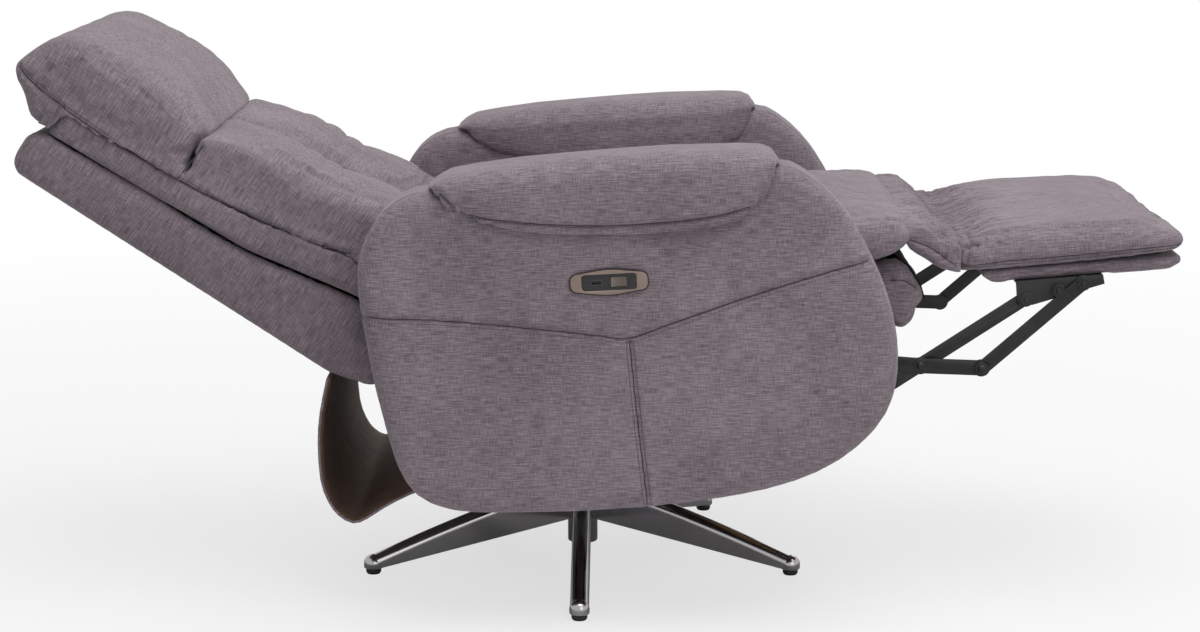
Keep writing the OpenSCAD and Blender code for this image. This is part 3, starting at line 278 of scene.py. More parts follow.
chrome = plated("chrome_plate", rgb(168, 166, 168), 0.07, 0.09)
zinc = plated("zinc_plate", rgb(196, 198, 201), 0.24, 0.2)
dark_zinc = plated("dark_nickel", rgb(88, 88, 90), 0.3, 0.1)
black_steel = coated("black_powder_coat", rgb(26, 26, 27), rgb(44, 43, 44), 0.42, 0.25)
glossy_black = moulded("gloss_black_moulding", rgb(12, 12, 13), rgb(26, 26, 28), 0.08, 0.6)
motor_black = coated("matt_motor_housing", rgb(22, 22, 24), rgb(38, 38, 40), 0.5)
glide_black = coated("glide_nylon", rgb(16, 16, 16), rgb(30, 30, 30), 0.5)
taupe_metal = coated("taupe_satin_metal", rgb(142, 126, 118), rgb(163, 147, 138), 0.3, 0.85, 0.05)
dark_rim = coated("bezel_edge", rgb(58, 50, 47), rgb(78, 69, 65), 0.34, 0.8, 0.05)
rocker_bronze = coated("rocker_satin_bronze", rgb(112, 101, 96), rgb(136, 124, 118), 0.28, 0.8, 0.05)
plywood = boarded("plywood", rgb(150, 112, 72), rgb(205, 168, 122))
fibre_board = boarded("brown_fibre_board", rgb(50, 34, 25), rgb(88, 62, 46), (30, 60, 60), 0.7)
print("hard finishes:", sum(m.users == 0 for m in bpy.data.materials), "ready")

# %% [markdown]
# ## Floor and light
# A pale floor and a broad soft light from above, with a weaker one beside the camera. The seat and the
# legrest look twice as bright as the arm's side in the photograph, and that ratio sets the two lamps.

# %% Floor and light
def pale_floor():
    f = Finish("pale_floor")
    place = f.place()
    mottle = f.noise(place, (3, 3, 3), 3.0)
    colour = f.ramp(mottle, (0.2, rgb(236, 236, 237)), (0.8, rgb(243, 243, 244)))
    lit = f.add("ShaderNodeBsdfPrincipled", None, {"Base Color": colour, "Roughness": 0.6,
                                                   "Specular IOR Level": 0.2})
    glow = f.add("ShaderNodeEmission", None, {"Color": (1, 1, 1, 1), "Strength": 1.0})
    seen = f.add("ShaderNodeLightPath", out=0)
    spread = f.add("ShaderNodeVectorMath", {"operation": "LENGTH"}, {0: place}, out=1)
    share = (spread * 0.11 + 0.66).clamped()
    shader = f.add("ShaderNodeMixShader", None, {0: seen * share, 1: lit, 2: glow})
    return f.finish_with(shader)


floor_mesh = bpy.data.meshes.new("floor")
floor_bm = bmesh.new()
bmesh.ops.create_grid(floor_bm, x_segments=8, y_segments=8, size=60)
floor_bm.to_mesh(floor_mesh)
floor_bm.free()
floor = bpy.data.objects.new("floor", floor_mesh)
bpy.context.scene.collection.objects.link(floor)
floor_mesh.materials.append(pale_floor())


def soft_lamp(name, place, aim, size, power):
    data = bpy.data.lights.new(name, "AREA")
    data.shape = "SQUARE"
    data.size = size
    data.energy = power
    lamp = bpy.data.objects.new(name, data)
    lamp.location = place
    lamp.rotation_euler = (Vector(aim) - Vector(place)).to_track_quat("-Z", "Y").to_euler()
    bpy.context.scene.collection.objects.link(lamp)
    return lamp


soft_lamp("top_light", (0.6, -0.8, 3.2), (0.1, 0, 0.4), 2.6, 70)
soft_lamp("side_fill", (1.9, -4.0, 1.8), (0.1, 0, 0.4), 2.6, 22)
soft_lamp("rear_fill", (0.6, 3.6, 2.2), (0, 0, 0.4), 2.6, 26)

world = bpy.data.worlds.new("studio")
bpy.context.scene.world = world
world.use_nodes = True
world.node_tree.nodes.clear()


class Backdrop(Finish):
    def __init__(self, world):
        self.tree = world.node_tree


sky = Backdrop(world)
paths = sky.tree.nodes.new("ShaderNodeLightPath")
shown = Tone(sky, paths.outputs["Is Camera Ray"]) + Tone(sky, paths.outputs["Is Glossy Ray"])
shown = (shown + Tone(sky, paths.outputs["Is Transmission Ray"])).clamped()
dim = sky.add("ShaderNodeBackground", None, {"Color": (1, 1, 1, 1), "Strength": 0.27})
bright = sky.add("ShaderNodeBackground", None, {"Color": (1, 1, 1, 1), "Strength": 1.0})
backdrop = sky.add("ShaderNodeMixShader", None, {0: shown, 1: dim, 2: bright})
world_output = sky.tree.nodes.new("ShaderNodeOutputWorld")
sky.tree.links.new(backdrop.socket, world_output.inputs["Surface"])
bpy.context.scene.view_settings.view_transform = "Standard"

# %% [markdown]
# ## Working with meshes
# The CAD meshes are loose triangles and stay untouched, so every new piece starts from a merged copy.
# These small helpers copy, measure and move points; numpy moves all points of a piece at once.

# %% Mesh helpers
def shown_object(name, mesh):
    made = bpy.data.objects.new(name, mesh)
    bpy.context.scene.collection.objects.link(made)
    return made


def points_of(mesh):
    flat = np.empty(len(mesh.vertices) * 3)
    mesh.vertices.foreach_get("co", flat)
    return flat.reshape(-1, 3)


def normals_of(mesh):
    flat = np.empty(len(mesh.vertices) * 3)
    mesh.vertices.foreach_get("normal", flat)
    return flat.reshape(-1, 3)


def move_points(mesh, points):
    mesh.vertices.foreach_set("co", np.asarray(points, np.float32).ravel())
    mesh.update()


def merged_copy(name, node, outer_only=False):
    """A CAD node's mesh as a clean closed mesh, without the hollow inside it if outer_only."""
    bm = bmesh.new()
    bm.from_mesh(cad_nodes[node].data)
    bmesh.ops.remove_doubles(bm, verts=bm.verts, dist=2e-5)
    if outer_only:
        shells, unseen = [], set(bm.faces)
        while unseen:
            shell, edge = set(), [unseen.pop()]
            while edge:
                face = edge.pop()
                shell.add(face)
                for side in face.edges:
                    for other in side.link_faces:
                        if other in unseen:
                            unseen.remove(other)
                            edge.append(other)
            shells.append(shell)
        size = lambda shell: max(v.co.x for f in shell for v in f.verts) - min(v.co.x for f in shell for v in f.verts)
        widest = max(shells, key=size)
        bmesh.ops.delete(bm, geom=[f for s in shells if s is not widest for f in s], context="FACES")
    mesh = bpy.data.meshes.new(name)
    bm.to_mesh(mesh)
    bm.free()
    return shown_object(name, mesh)


def baked(piece, *modifiers):
    """Adds modifiers, each (type, settings), and makes their result the piece's own mesh."""
    for kind, settings in modifiers:
        modifier = piece.modifiers.new(kind.lower(), kind)
        for key, value in settings.items():
            setattr(modifier, key, value)
    graph = bpy.context.evaluated_depsgraph_get()
    mesh = bpy.data.meshes.new_from_object(piece.evaluated_get(graph))
    piece.modifiers.clear()
    piece.data = mesh
    return piece


def tree_of(*meshes):
    points, faces = [], []
    for mesh in meshes:
        start = len(points)
        points += [v.co.copy() for v in mesh.vertices]
        faces += [[start + i for i in p.vertices] for p in mesh.polygons]
    return BVHTree.FromPolygons(points, faces)


def finished_as(piece, material, smooth=True):
    piece.data.materials.clear()
    piece.data.materials.append(material)
    piece.data.polygons.foreach_set("use_smooth", [smooth] * len(piece.data.polygons))
    piece.data.update()
    return piece


def lay_weave(piece, tilt=0.0):
    """A map in metres over the piece: each face is laid flat along the axis that it faces most."""
    mesh = piece.data
    turn = np.array(Matrix.Rotation(tilt, 3, "Y"))
    points = points_of(mesh) @ turn.T
    faces = np.empty(len(mesh.polygons) * 3)
    mesh.polygons.foreach_get("normal", faces)
    facing = np.abs(faces.reshape(-1, 3) @ turn.T).argmax(1)
    totals = np.empty(len(mesh.polygons), int)
    mesh.polygons.foreach_get("loop_total", totals)
    corners = np.empty(len(mesh.loops), int)
    mesh.loops.foreach_get("vertex_index", corners)
    facing = np.repeat(facing, totals)
    at = points[corners]
    flat = np.where((facing == 0)[:, None], at[:, [1, 2]],
                    np.where((facing == 1)[:, None], at[:, [0, 2]], at[:, [0, 1]]))
    layer = mesh.uv_layers.get("weave") or mesh.uv_layers.new(name="weave")
    layer.data.foreach_set("uv", flat.astype(np.float32).ravel())


back_tilt = math.radians(56.6)
pivot_z = 0.415


def back_place(x, z, y=0.0):
    """A point given in the back's own frame, in metres: x to its front, z up its length."""
    return (-0.235 + x * math.cos(back_tilt) - z * math.sin(back_tilt), y,
            pivot_z + x * math.sin(back_tilt) + z * math.cos(back_tilt))


print("helpers ready; the head's place is", [round(v, 3) for v in back_place(0.05, 0.5)])

# %% [markdown]
# ## Seams and stitches
# A sewn seam pulls the cover in, so the stuffing stands up on both sides of it. A seam here is a line of
# points on the surface. `sewn_in` presses the cover down along it and lifts the cloth beside it, and a
# Geometry Nodes tree lays one thread capsule for each stitch along the rows next to it.

# %% Seam helpers
def smooth_line(points, step):
    """A smooth curve through points, as evenly spaced points."""
    p = np.asarray(points, float)
    ends = np.vstack([2 * p[0] - p[1], p, 2 * p[-1] - p[-2]])
    dense = []
    for a, b, c, d in zip(ends, ends[1:], ends[2:], ends[3:]):
        t = np.linspace(0, 1, 24, endpoint=False)[:, None]
        dense.append((2 * b + (c - a) * t + (2 * a - 5 * b + 4 * c - d) * t**2 + (3 * b - a - 3 * c + d) * t**3) / 2)
    dense = np.vstack(dense + [p[-1:]])
    return even_line(dense, step)


def even_line(points, step):
    p = np.asarray(points, float)
    run = np.r_[0, np.cumsum(np.linalg.norm(np.diff(p, axis=0), axis=1))]
    count = max(2, int(round(run[-1] / step)) + 1)
    at = np.linspace(0, run[-1], count)
    return np.stack([np.interp(at, run, p[:, k]) for k in range(3)], 1)


def cast_on(tree, points, direction):
    """Points thrown onto a surface along a direction: places and outward normals where they land."""
    places, outs = [], []
    way = Vector(direction).normalized()
    for p in points:
        hit = tree.ray_cast(Vector(p) - way * 0.6, way, 1.4)
        if hit[0] is not None:
            places.append(hit[0])
            outs.append(hit[1] if hit[1].dot(way) < 0 else -hit[1])
    return np.array(places), np.array(outs)


def side_line(tree, flat_points, side, step=0.002):
    """A line given as (x, z) in millimetres, thrown onto the outer side of a piece at that side of the chair."""
    line = smooth_line([(x / 1000, side * 0.4, z / 1000) for x, z in flat_points], step)
    return cast_on(tree, line, (0, -side, 0))


def slice_line(piece, place, normal):
    """The closed lines where a plane cuts a piece, each as ordered points."""
    bm = bmesh.new()
    bm.from_mesh(piece.data)
    cut = bmesh.ops.bisect_plane(bm, geom=bm.verts[:] + bm.edges[:] + bm.faces[:], plane_co=place, plane_no=normal)
    edges = {e for e in cut["geom_cut"] if isinstance(e, bmesh.types.BMEdge)}
    lines = []
    while edges:
        first = edges.pop()
        line = [first.verts[0], first.verts[1]]
        while True:
            following = [e for e in line[-1].link_edges if e in edges]
            if not following:
                break
            edges.discard(following[0])
            line.append(following[0].other_vert(line[-1]))
        lines.append(np.array([v.co for v in line]))
    bm.free()
    return sorted(lines, key=len, reverse=True)


def distance_to(points, line, reach):
    """How far each point is from a line of close points, and which of them is nearest; beyond reach it stops looking."""
    found = np.full(len(points), 1e3)
    which = np.zeros(len(points), int)
    low, high = line.min(0) - reach, line.max(0) + reach
    close = np.nonzero(((points > low) & (points < high)).all(1))[0]
    kd = KDTree(len(line))
    for i, p in enumerate(line):
        kd.insert(p, i)
    kd.balance()
    for i in close:
        _, which[i], found[i] = kd.find(points[i])
    return found, which


def sewn_in(piece, line, depth=0.0022, width=0.0035, puff=0.0009, pucker=0.25, pitch=0.021, mask=None):
    """Presses the cover in along a line, uneven as real sewing is, and lifts it a little on both sides."""
    mesh = piece.data
    points, outs = points_of(mesh), normals_of(mesh)
    away, which = distance_to(points, line, width * 6)
    run = np.r_[0, np.cumsum(np.linalg.norm(np.diff(line, axis=0), axis=1))][which]
    wave = np.sin(run / pitch * 6.283) * 0.6 + np.sin(run / pitch * 2.9 + 1.3) * 0.4
    press = -depth * np.exp(-(away / width) ** 2) * (1 + pucker * wave * 0.5)
    press += puff * np.exp(-((away - 2.4 * width) / (1.4 * width)) ** 2) * (1 + pucker * wave)
    if mask is not None:
        press = press * mask(points)
    move_points(mesh, points + outs * press[:, None])


def stitch_tree():
    """Geometry Nodes: one capsule of thread for each stitch along the lines of the mesh."""
    tree = bpy.data.node_groups.new("stitch_rows", "GeometryNodeTree")
    for name, kind, way, value in (("Rows", "NodeSocketGeometry", "INPUT", None),
                                   ("Pitch", "NodeSocketFloat", "INPUT", 0.0046),
                                   ("Length", "NodeSocketFloat", "INPUT", 0.0033),
                                   ("Thickness", "NodeSocketFloat", "INPUT", 0.0007),
                                   ("Thread", "NodeSocketMaterial", "INPUT", None),
                                   ("Stitches", "NodeSocketGeometry", "OUTPUT", None)):
        socket = tree.interface.new_socket(name, in_out=way, socket_type=kind)
        if value is not None:
            socket.default_value = value
    nodes, link = tree.nodes, tree.links.new
    source, result = nodes.new("NodeGroupInput"), nodes.new("NodeGroupOutput")
    curve = nodes.new("GeometryNodeMeshToCurve")
    spaced = nodes.new("GeometryNodeResampleCurve")
    if hasattr(spaced, "mode"):
        spaced.mode = "LENGTH"
    along = nodes.new("GeometryNodeInputTangent")
    turn = nodes.new("FunctionNodeAlignRotationToVector")
    turn.axis = "Z"
    bead = nodes.new("GeometryNodeMeshUVSphere")
    bead.inputs["Segments"].default_value = 6
    bead.inputs["Rings"].default_value = 5
    bead.inputs["Radius"].default_value = 1.0
    size = nodes.new("ShaderNodeCombineXYZ")
    half = nodes.new("ShaderNodeMath")
    half.operation = "MULTIPLY"
    half.inputs[1].default_value = 0.5
    copies = nodes.new("GeometryNodeInstanceOnPoints")
    real = nodes.new("GeometryNodeRealizeInstances")
    smooth = nodes.new("GeometryNodeSetShadeSmooth")
    paint = nodes.new("GeometryNodeSetMaterial")
    link(source.outputs["Rows"], curve.inputs["Mesh"])
    link(curve.outputs["Curve"], spaced.inputs["Curve"])
    link(source.outputs["Pitch"], spaced.inputs["Length"])
    link(along.outputs["Tangent"], turn.inputs["Vector"])
    link(source.outputs["Thickness"], size.inputs["X"])
    link(source.outputs["Thickness"], size.inputs["Y"])
    link(source.outputs["Length"], half.inputs[0])
    link(half.outputs[0], size.inputs["Z"])
    link(spaced.outputs["Curve"], copies.inputs["Points"])
    link(bead.outputs["Mesh"], copies.inputs["Instance"])
    link(turn.outputs["Rotation"], copies.inputs["Rotation"])
    link(size.outputs["Vector"], copies.inputs["Scale"])
    link(copies.outputs["Instances"], real.inputs["Geometry"])
    link(real.outputs["Geometry"], smooth.inputs[0])
    link(smooth.outputs[0], paint.inputs["Geometry"])
    link(source.outputs["Thread"], paint.inputs["Material"])
    link(paint.outputs["Geometry"], result.inputs["Stitches"])
    return tree


stitch_rows = stitch_tree()


def grown_by(piece, tree, values):
    """Runs a Geometry Nodes tree on a piece with the named inputs and keeps the result as its mesh."""
    modifier = piece.modifiers.new("grown", "NODES")
    modifier.node_group = tree
    for item in tree.interface.items_tree:
        if item.item_type == "SOCKET" and item.in_out == "INPUT" and item.name in values:
            modifier[item.identifier] = values[item.name]
    piece.data.update()
    bpy.context.view_layer.update()
    return baked(piece)


def stitched(name, rows, body, pitch=0.0046, length=0.0033, thickness=0.0007, thread=sewing_thread):
    """One mesh of stitches along rows of points, riding on a body."""
    mesh = bpy.data.meshes.new(name)
    points, edges = [], []
    for row in rows:
        if len(row) < 3:
            continue
        start = len(points)
        points += [tuple(p) for p in row]
        edges += [(start + i, start + i + 1) for i in range(len(row) - 1)]
    mesh.from_pydata(points, edges, [])
    piece = grown_by(shown_object(name, mesh), stitch_rows,
                     {"Pitch": pitch, "Length": length, "Thickness": thickness, "Thread": thread})
    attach(piece, body)
    print(name, "stitch triangles:", sum(len(p.vertices) - 2 for p in piece.data.polygons))
    return piece


def seam_shade_cord(name, rows, body, thickness=0.0008):
    """Painted seam shade: a line of near-black thread capsules so close that they join, laid in a seam's groove to
    stand for its shade.
    """
    return stitched(name, rows, body, 0.0024, 0.0046, thickness, painted_seam_shade)


def beside(line, outs, shift, lift=0.0004):
    """A row that runs beside a seam, shifted along the surface and lifted onto it."""
    ahead = np.gradient(line, axis=0)
    ahead /= np.linalg.norm(ahead, axis=1)[:, None] + 1e-12
    across = np.cross(outs, ahead)
    across /= np.linalg.norm(across, axis=1)[:, None] + 1e-12
    return line + across * shift + outs * lift


def settled(row, tree, lift=0.0004):
    """A row brought back onto the final surface, and evened."""
    placed = []
    for p in row:
        place, out, _, _ = tree.find_nearest(Vector(p))
        placed.append(place + out * lift)
    placed = np.array(placed)
    for _ in range(6):
        placed[1:-1] = placed[1:-1] * 0.5 + (placed[:-2] + placed[2:]) * 0.25
    return placed


print("stitch tree:", len(stitch_rows.nodes), "nodes")

# %% [markdown]
# ## Blowing up the cushions
# Foam presses its cover out until the seams stop it. Blender's cloth with air pressure does the same: each
# piece starts a little small, is blown up for twenty frames with gravity off, and no point may travel
# further than the cover would let it. All pieces are blown up side by side, so that the frames are
# stepped once only. Where a cushion meets a neighbour it stops half way between the two.

# %% Cloth helpers
cushions = {}


def cushion(name, node, voxel, swell, neighbours, proud=0.006, start_in=0.004, hold=None, pressure=4.0,
            slack=0.0, outer_only=False, stiff=12.0, firm=False, give=0.002):
    """Prepares a copy of a CAD cushion for the pressure step. hold(points) gives each point's grip, 0 to 1.
    Where the cushion lies against a neighbour it is held too. A firm piece is foam on a board: it only swells a
    little and isn't simulated. give is how far a point may sink below the CAD form."""
    piece = merged_copy(name, node, outer_only)
    own = tree_of(piece.data)
    others = tree_of(*[cad_nodes[n].data for n in neighbours])
    baked(piece, ("REMESH", {"mode": "VOXEL", "voxel_size": voxel}))
    start = points_of(piece.data)
    gaps = np.array([others.find_nearest(Vector(p), 0.03)[3] or 0.03 for p in start])
    grip = np.clip((0.015 - gaps) / 0.007, 0, 1) * 0.97
    if hold:
        grip = np.maximum(grip, np.clip(hold(start), 0, 1))
    start = start - normals_of(piece.data) * (start_in * (1 - grip))[:, None]
    move_points(piece.data, start)
    cushions[name] = {"piece": piece, "own": own, "start": start, "swell": swell, "proud": proud, "grip": grip,
                      "others": others, "firm": firm, "give": give, "rise": start_in + proud}
    if firm:
        return piece
    held = piece.vertex_groups.new(name="seams")
    for i in np.nonzero(grip > 0.02)[0]:
        held.add([int(i)], float(grip[i]), "REPLACE")
    cloth = piece.modifiers.new("cloth", "CLOTH")
    settings = cloth.settings
    settings.quality = 5
    settings.mass = 0.25
    settings.tension_stiffness = stiff
    settings.compression_stiffness = stiff
    settings.shear_stiffness = stiff * 0.5
    settings.bending_stiffness = 0.6
    settings.use_pressure = True
    settings.uniform_pressure_force = pressure
    settings.shrink_min = -slack
    settings.vertex_group_mass = "seams"
    settings.pin_stiffness = 1.0
    settings.effector_weights.gravity = 0
    cloth.point_cache.frame_start, cloth.point_cache.frame_end = 1, 20
    return piece


def blow_up():
    """Steps the frames once for all prepared cushions, then keeps each shape within its limits."""
    scene = bpy.context.scene
    scene.frame_start, scene.frame_end = 1, 20
    blown = {}
    for number in range(1, 21):
        scene.frame_set(number)
    graph = bpy.context.evaluated_depsgraph_get()
    for name, c in cushions.items():
        if not c["firm"]:
            blown[name] = points_of(c["piece"].evaluated_get(graph).data)
    scene.frame_set(1)
    for name, c in cushions.items():
        piece, start = c["piece"], c["start"]
        end = blown.get(name)
        if end is None or not np.isfinite(end).all():
            end = start + normals_of(piece.data) * (c["rise"] * (1 - c["grip"]))[:, None]
        piece.modifiers.clear()
        travel = end - start
        far = np.linalg.norm(travel, axis=1)
        end = start + travel * np.minimum(1, c["swell"] / np.maximum(far, 1e-9))[:, None]
        kept, pressed = end.copy(), 0
        for i, p in enumerate(end):
            place, out, _, _ = c["own"].find_nearest(Vector(p))
            stands = (Vector(p) - place).dot(out)
            if stands < -c["give"]:
                kept[i] = place - out * c["give"]
                pressed += 1
            elif stands > 0:
                gap = c["others"].find_nearest(place)[3]
                room = min(c["proud"], gap * 0.5 - 0.0003)
                if stands > room:
                    kept[i] = place + out * room
                    pressed += 1
        move_points(piece.data, kept)
        print(f"{name}: {len(kept)} points, moved {far.mean() * 1000:.1f} mm on average, {pressed} stopped at a limit")


def refined(piece, material, tilt=0.0, smoothing=2, fill=0.7, subdivide=1):
    steps = [("SMOOTH", {"iterations": smoothing, "factor": 0.5})] if smoothing else []
    if subdivide:
        steps.append(("SUBSURF", {"levels": subdivide, "render_levels": subdivide}))
    baked(piece, *steps)
    piece.vertex_groups.clear()
    finished_as(piece, material)
    return piece


# %% [markdown]
# ## The pieces of upholstery
# Each cushion names its CAD solid, how coarse its cloth is, how far it may swell and what it leans on.
# Seams that the photograph shows hold the cloth, and so the pillow forms stand between them.

# %% Where the seams hold
def near_line(flat_points, side, width):
    """A grip that is 1 on a line given as (x, z) in millimetres on one side of the chair, fading over width."""
    line = smooth_line([(x / 1000, 0, z / 1000) for x, z in flat_points], 0.004)

    def grip(points):
        flat = points.copy()
        flat[:, 1] = 0
        away, _ = distance_to(flat, line, width * 3)
        return np.exp(-(away / width) ** 2) * (points[:, 1] * side > 0.33)
    return grip


arm_seam = [(-289, 433), (-169, 428), (-46, 417), (27, 409), (67, 406), (125, 426), (223, 461), (320, 492), (383, 510)]
arm_seam_low = [(68, 401), (80, 284), (93, 176)]
pad_seam = [(-180, 599), (-146, 573), (-73, 562), (9, 558), (79, 560), (166, 569), (231, 584)]
legrest_seam = [(515, 481), (565, 485), (675, 494), (820, 510)]
flap_seam = [(444, 519), (478, 507), (515, 481)]


def arm_grip(points):
    edge = np.exp(-((np.abs(points[:, 1]) - 0.266) / 0.006) ** 2)
    return np.maximum.reduce([near_line(arm_seam, -1, 0.008)(points), near_line(arm_seam_low, -1, 0.008)(points),
                              edge * 0.9])


def back_local(points):
    dx, dz = points[:, 0] + 0.235, points[:, 2] - pivot_z
    return (dx * math.cos(back_tilt) + dz * math.sin(back_tilt), points[:, 1],
            -dx * math.sin(back_tilt) + dz * math.cos(back_tilt))


def back_world(x, y, z):
    return np.stack(back_place(x, z, y), 1)


def eased(v, low, high):
    t = np.clip((v - low) / (high - low), 0, 1)
    return t * t * (3 - 2 * t)


def lumbar_grip(points):
    x, y, z = back_local(points)
    valley = np.exp(-(y / 0.012) ** 2) * (x > 0.05) * (z < 0.31)
    return valley * 0.9


def seat_grip(points):
    return np.exp(-((np.abs(points[:, 1]) - 0.252) / 0.006) ** 2) * 0.8


# %% Prepare the cushions
cushion("arm_cover_soft_right", "arm_cover_right", 0.006, 0.010, ["arm_pad_right", "seat_cushion", "switch_bezel",
        "side_rail_right"], 0.0015, 0.0005, arm_grip, outer_only=True, firm=True)
cushion("arm_pad_soft_right", "arm_pad_right", 0.0042, 0.012, ["arm_cover_right"], 0.0035, 0.0005, firm=True)
cushion("seat_cushion_soft", "seat_cushion", 0.0058, 0.022, ["arm_cover_right", "arm_cover_left", "front_rail",
        "rear_rail", "legrest_flap", "skirt_cloth", "side_rail_right", "side_rail_left", "lumbar_cushion"], 0.006,
        0.006, seat_grip, slack=0.03)
cushion("legrest_pad_soft", "legrest_pad", 0.005, 0.022, ["legrest_board", "legrest_flap"], 0.006, 0.006, slack=0.03)
cushion("legrest_board_soft", "legrest_board", 0.005, 0.006, ["legrest_pad", "legrest_bracket_right",
        "legrest_bracket_left"], 0.002, 0.001, firm=True)
cushion("legrest_flap_soft", "legrest_flap", 0.0042, 0.014, ["legrest_pad", "seat_cushion", "arm_cover_right",
        "arm_cover_left"], 0.005, 0.004, slack=0.05)
cushion("front_skirt_soft", "front_skirt", 0.0048, 0.014, ["skirt_cloth", "front_rail", "front_link_right",
        "front_link_left"], 0.005, 0.004, slack=0.04)
cushion("back_case_soft", "back_shell", 0.0075, 0.010, ["back_cushion", "arm_cover_right", "arm_cover_left",
        "back_bracket_right", "back_bracket_left"], 0.0025, 0.0005, firm=True)
cushion("back_band_soft", "back_cushion", 0.0068, 0.012, ["back_shell", "lumbar_cushion", "head_cushion",
        "arm_cover_right", "arm_cover_left", "back_bracket_right", "back_bracket_left"], 0.0035, 0.0005, firm=True)
cushion("lumbar_soft", "lumbar_cushion", 0.0058, 0.026, ["back_cushion", "head_cushion", "seat_cushion",
        "back_bracket_right", "back_bracket_left"], 0.007, 0.008, lumbar_grip, slack=0.04)
cushion("head_soft", "head_cushion", 0.0058, 0.026, ["back_cushion", "lumbar_cushion", "back_shell"], 0.003, 0.009,
        slack=0.04)
blow_up()

# %% [markdown]
# ## Arms
# Each arm is a foam covered board. Its outer face is pieced from three panels: one seam runs down its
# middle, and one falls gently from the back and then climbs in a sharp V towards the front. A row of
# top stitching follows below the long seam, and two rows flank the short one.

# %% Arms
def mirrored(piece, name):
    """The same piece on the other side of the chair, facing outwards again."""
    mesh = piece.data.copy()
    points = points_of(mesh)
    points[:, 1] *= -1
    mesh.vertices.foreach_set("co", points.astype(np.float32).ravel())
    mesh.flip_normals()
    mesh.name = name
    mesh.update()
    return shown_object(name, mesh)


plate_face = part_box("switch_bezel")[0].y


def sunk_at_plate(piece):
    """Draws the cover in under the control plate's rim."""
    mesh = piece.data
    points = points_of(mesh)
    x, z = points[:, 0] - 0.0407, points[:, 2] - 0.482
    z = z - x * math.tan(math.radians(3))
    reach = np.sqrt((x / 0.058) ** 4 + (z / 0.0235) ** 4) ** 0.5
    near = (points[:, 1] < -0.355) & (reach < 2.4)
    limit = plate_face + 0.0022 - np.clip(reach - 1.0, 0, 1.4) * 0.005
    points[:, 1] = np.where(near, np.maximum(points[:, 1], limit), points[:, 1])
    move_points(mesh, points)


arm_right = refined(cushions["arm_cover_soft_right"]["piece"], cover_cloth, smoothing=1)
arm_surface = tree_of(arm_right.data)
arm_rows = []
line, outs = side_line(arm_surface, arm_seam, -1)
sewn_in(arm_right, line, 0.0024, 0.0036, 0.0012, 0.3)
arm_rows.append(beside(line, outs, -0.0055))
line_low, outs_low = side_line(arm_surface, arm_seam_low, -1)
sewn_in(arm_right, line_low, 0.0024, 0.0036, 0.0010, 0.25)
arm_rows += [beside(line_low, outs_low, 0.0052), beside(line_low, outs_low, -0.0052)]
for plane in (-0.357, -0.281):
    for edge_line in slice_line(arm_right, (0, plane, 0), (0, 1, 0))[:1]:
        edge_line = even_line(edge_line, 0.003)
        keep = (edge_line[:, 2] < 0.55) | (np.abs(edge_line[:, 0]) > 0.2)
        sewn_in(arm_right, edge_line[keep], 0.0013, 0.0026, 0.0005, 0.3)
arm_left = mirrored(arm_right, "arm_cover_soft_left")
sunk_at_plate(arm_right)
for piece, side in ((arm_right, "right"), (arm_left, "left")):
    finished_as(piece, cover_cloth)
    lay_weave(piece)
    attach(piece, "carcass")
    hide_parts(f"arm_cover_{side}")
arm_surface = tree_of(arm_right.data)
arm_rows = [settled(row, arm_surface) for row in arm_rows]
arm_shade_lines = [settled(row, arm_surface, 0.0001) for row in (line, line_low)]
stitched("arm_stitches", arm_rows + [row * (1, -1, 1) for row in arm_rows], "carcass")
# painted seam shade: dark lines in the grooves of the long and the short arm seam, on both arms
seam_shade_cord("arm_seams", arm_shade_lines + [row * (1, -1, 1) for row in arm_shade_lines], "carcass")

# %% [markdown]
# ## Arm pads
# A pad lies over each arm like a saddle and hangs down its outer side. Its hem is drawn tight to the
# arm, and one seam follows the hem a finger's width above it.

# %% Arm pads
pad_right = refined(cushions["arm_pad_soft_right"]["piece"], cover_cloth, smoothing=2)
pad_surface = tree_of(pad_right.data)
line, outs = side_line(pad_surface, pad_seam, -1)
sewn_in(pad_right, line, 0.0022, 0.0032, 0.0012, 0.3, 0.03)
pad_rows = [beside(line, outs, -0.0022)]
points, out = points_of(pad_right.data), normals_of(pad_right.data)
hem_x, hem_z = np.array(pad_seam).T / 1000
hem = 1 - eased(points[:, 2] - np.interp(points[:, 0], hem_x, hem_z), -0.005, 0.002)
hem = hem * (points[:, 1] < -0.36)
points[:, 1] -= 0.0030 * hem * np.clip(-out[:, 1], 0, 1)
points[:, 2] -= 0.0065 * hem
move_points(pad_right.data, points)
dart = [(236, 585), (239, 600), (240, 612)]
dart_line, _ = side_line(pad_surface, dart, -1)
sewn_in(pad_right, dart_line, 0.0022, 0.0034, 0.0008, 0.1)
for centre, deep, broad in (((-60, 600), 0.0014, 0.03), ((120, 606), 0.0014, 0.034)):
    points, out = points_of(pad_right.data), normals_of(pad_right.data)
    away = np.hypot(points[:, 0] - centre[0] / 1000, points[:, 2] - centre[1] / 1000)
    soft = -deep * np.exp(-(away / broad) ** 2) * (points[:, 1] < -0.36)
    move_points(pad_right.data, points + out * soft[:, None])
pad_left = mirrored(pad_right, "arm_pad_soft_left")
for piece, side in ((pad_right, "right"), (pad_left, "left")):
    finished_as(piece, cover_cloth)
    lay_weave(piece)
    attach(piece, "carcass")
    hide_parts(f"arm_pad_{side}")
pad_surface = tree_of(pad_right.data)
pad_rows = [settled(row, pad_surface) for row in pad_rows]
pad_shade_line = settled(line, pad_surface, 0.0001)
stitched("pad_stitches", pad_rows + [row * (1, -1, 1) for row in pad_rows], "carcass")
# painted seam shade: a dark line in the groove of the seam above each pad's hem
seam_shade_cord("pad_seams", [pad_shade_line, pad_shade_line * (1, -1, 1)], "carcass", 0.0006)

# %% [markdown]
# ## Seat
# The seat is one long cushion whose front rolls down over the edge. Its cover has a boxed seam along both
# sides, close to the arms, and sits a little slack in the middle.

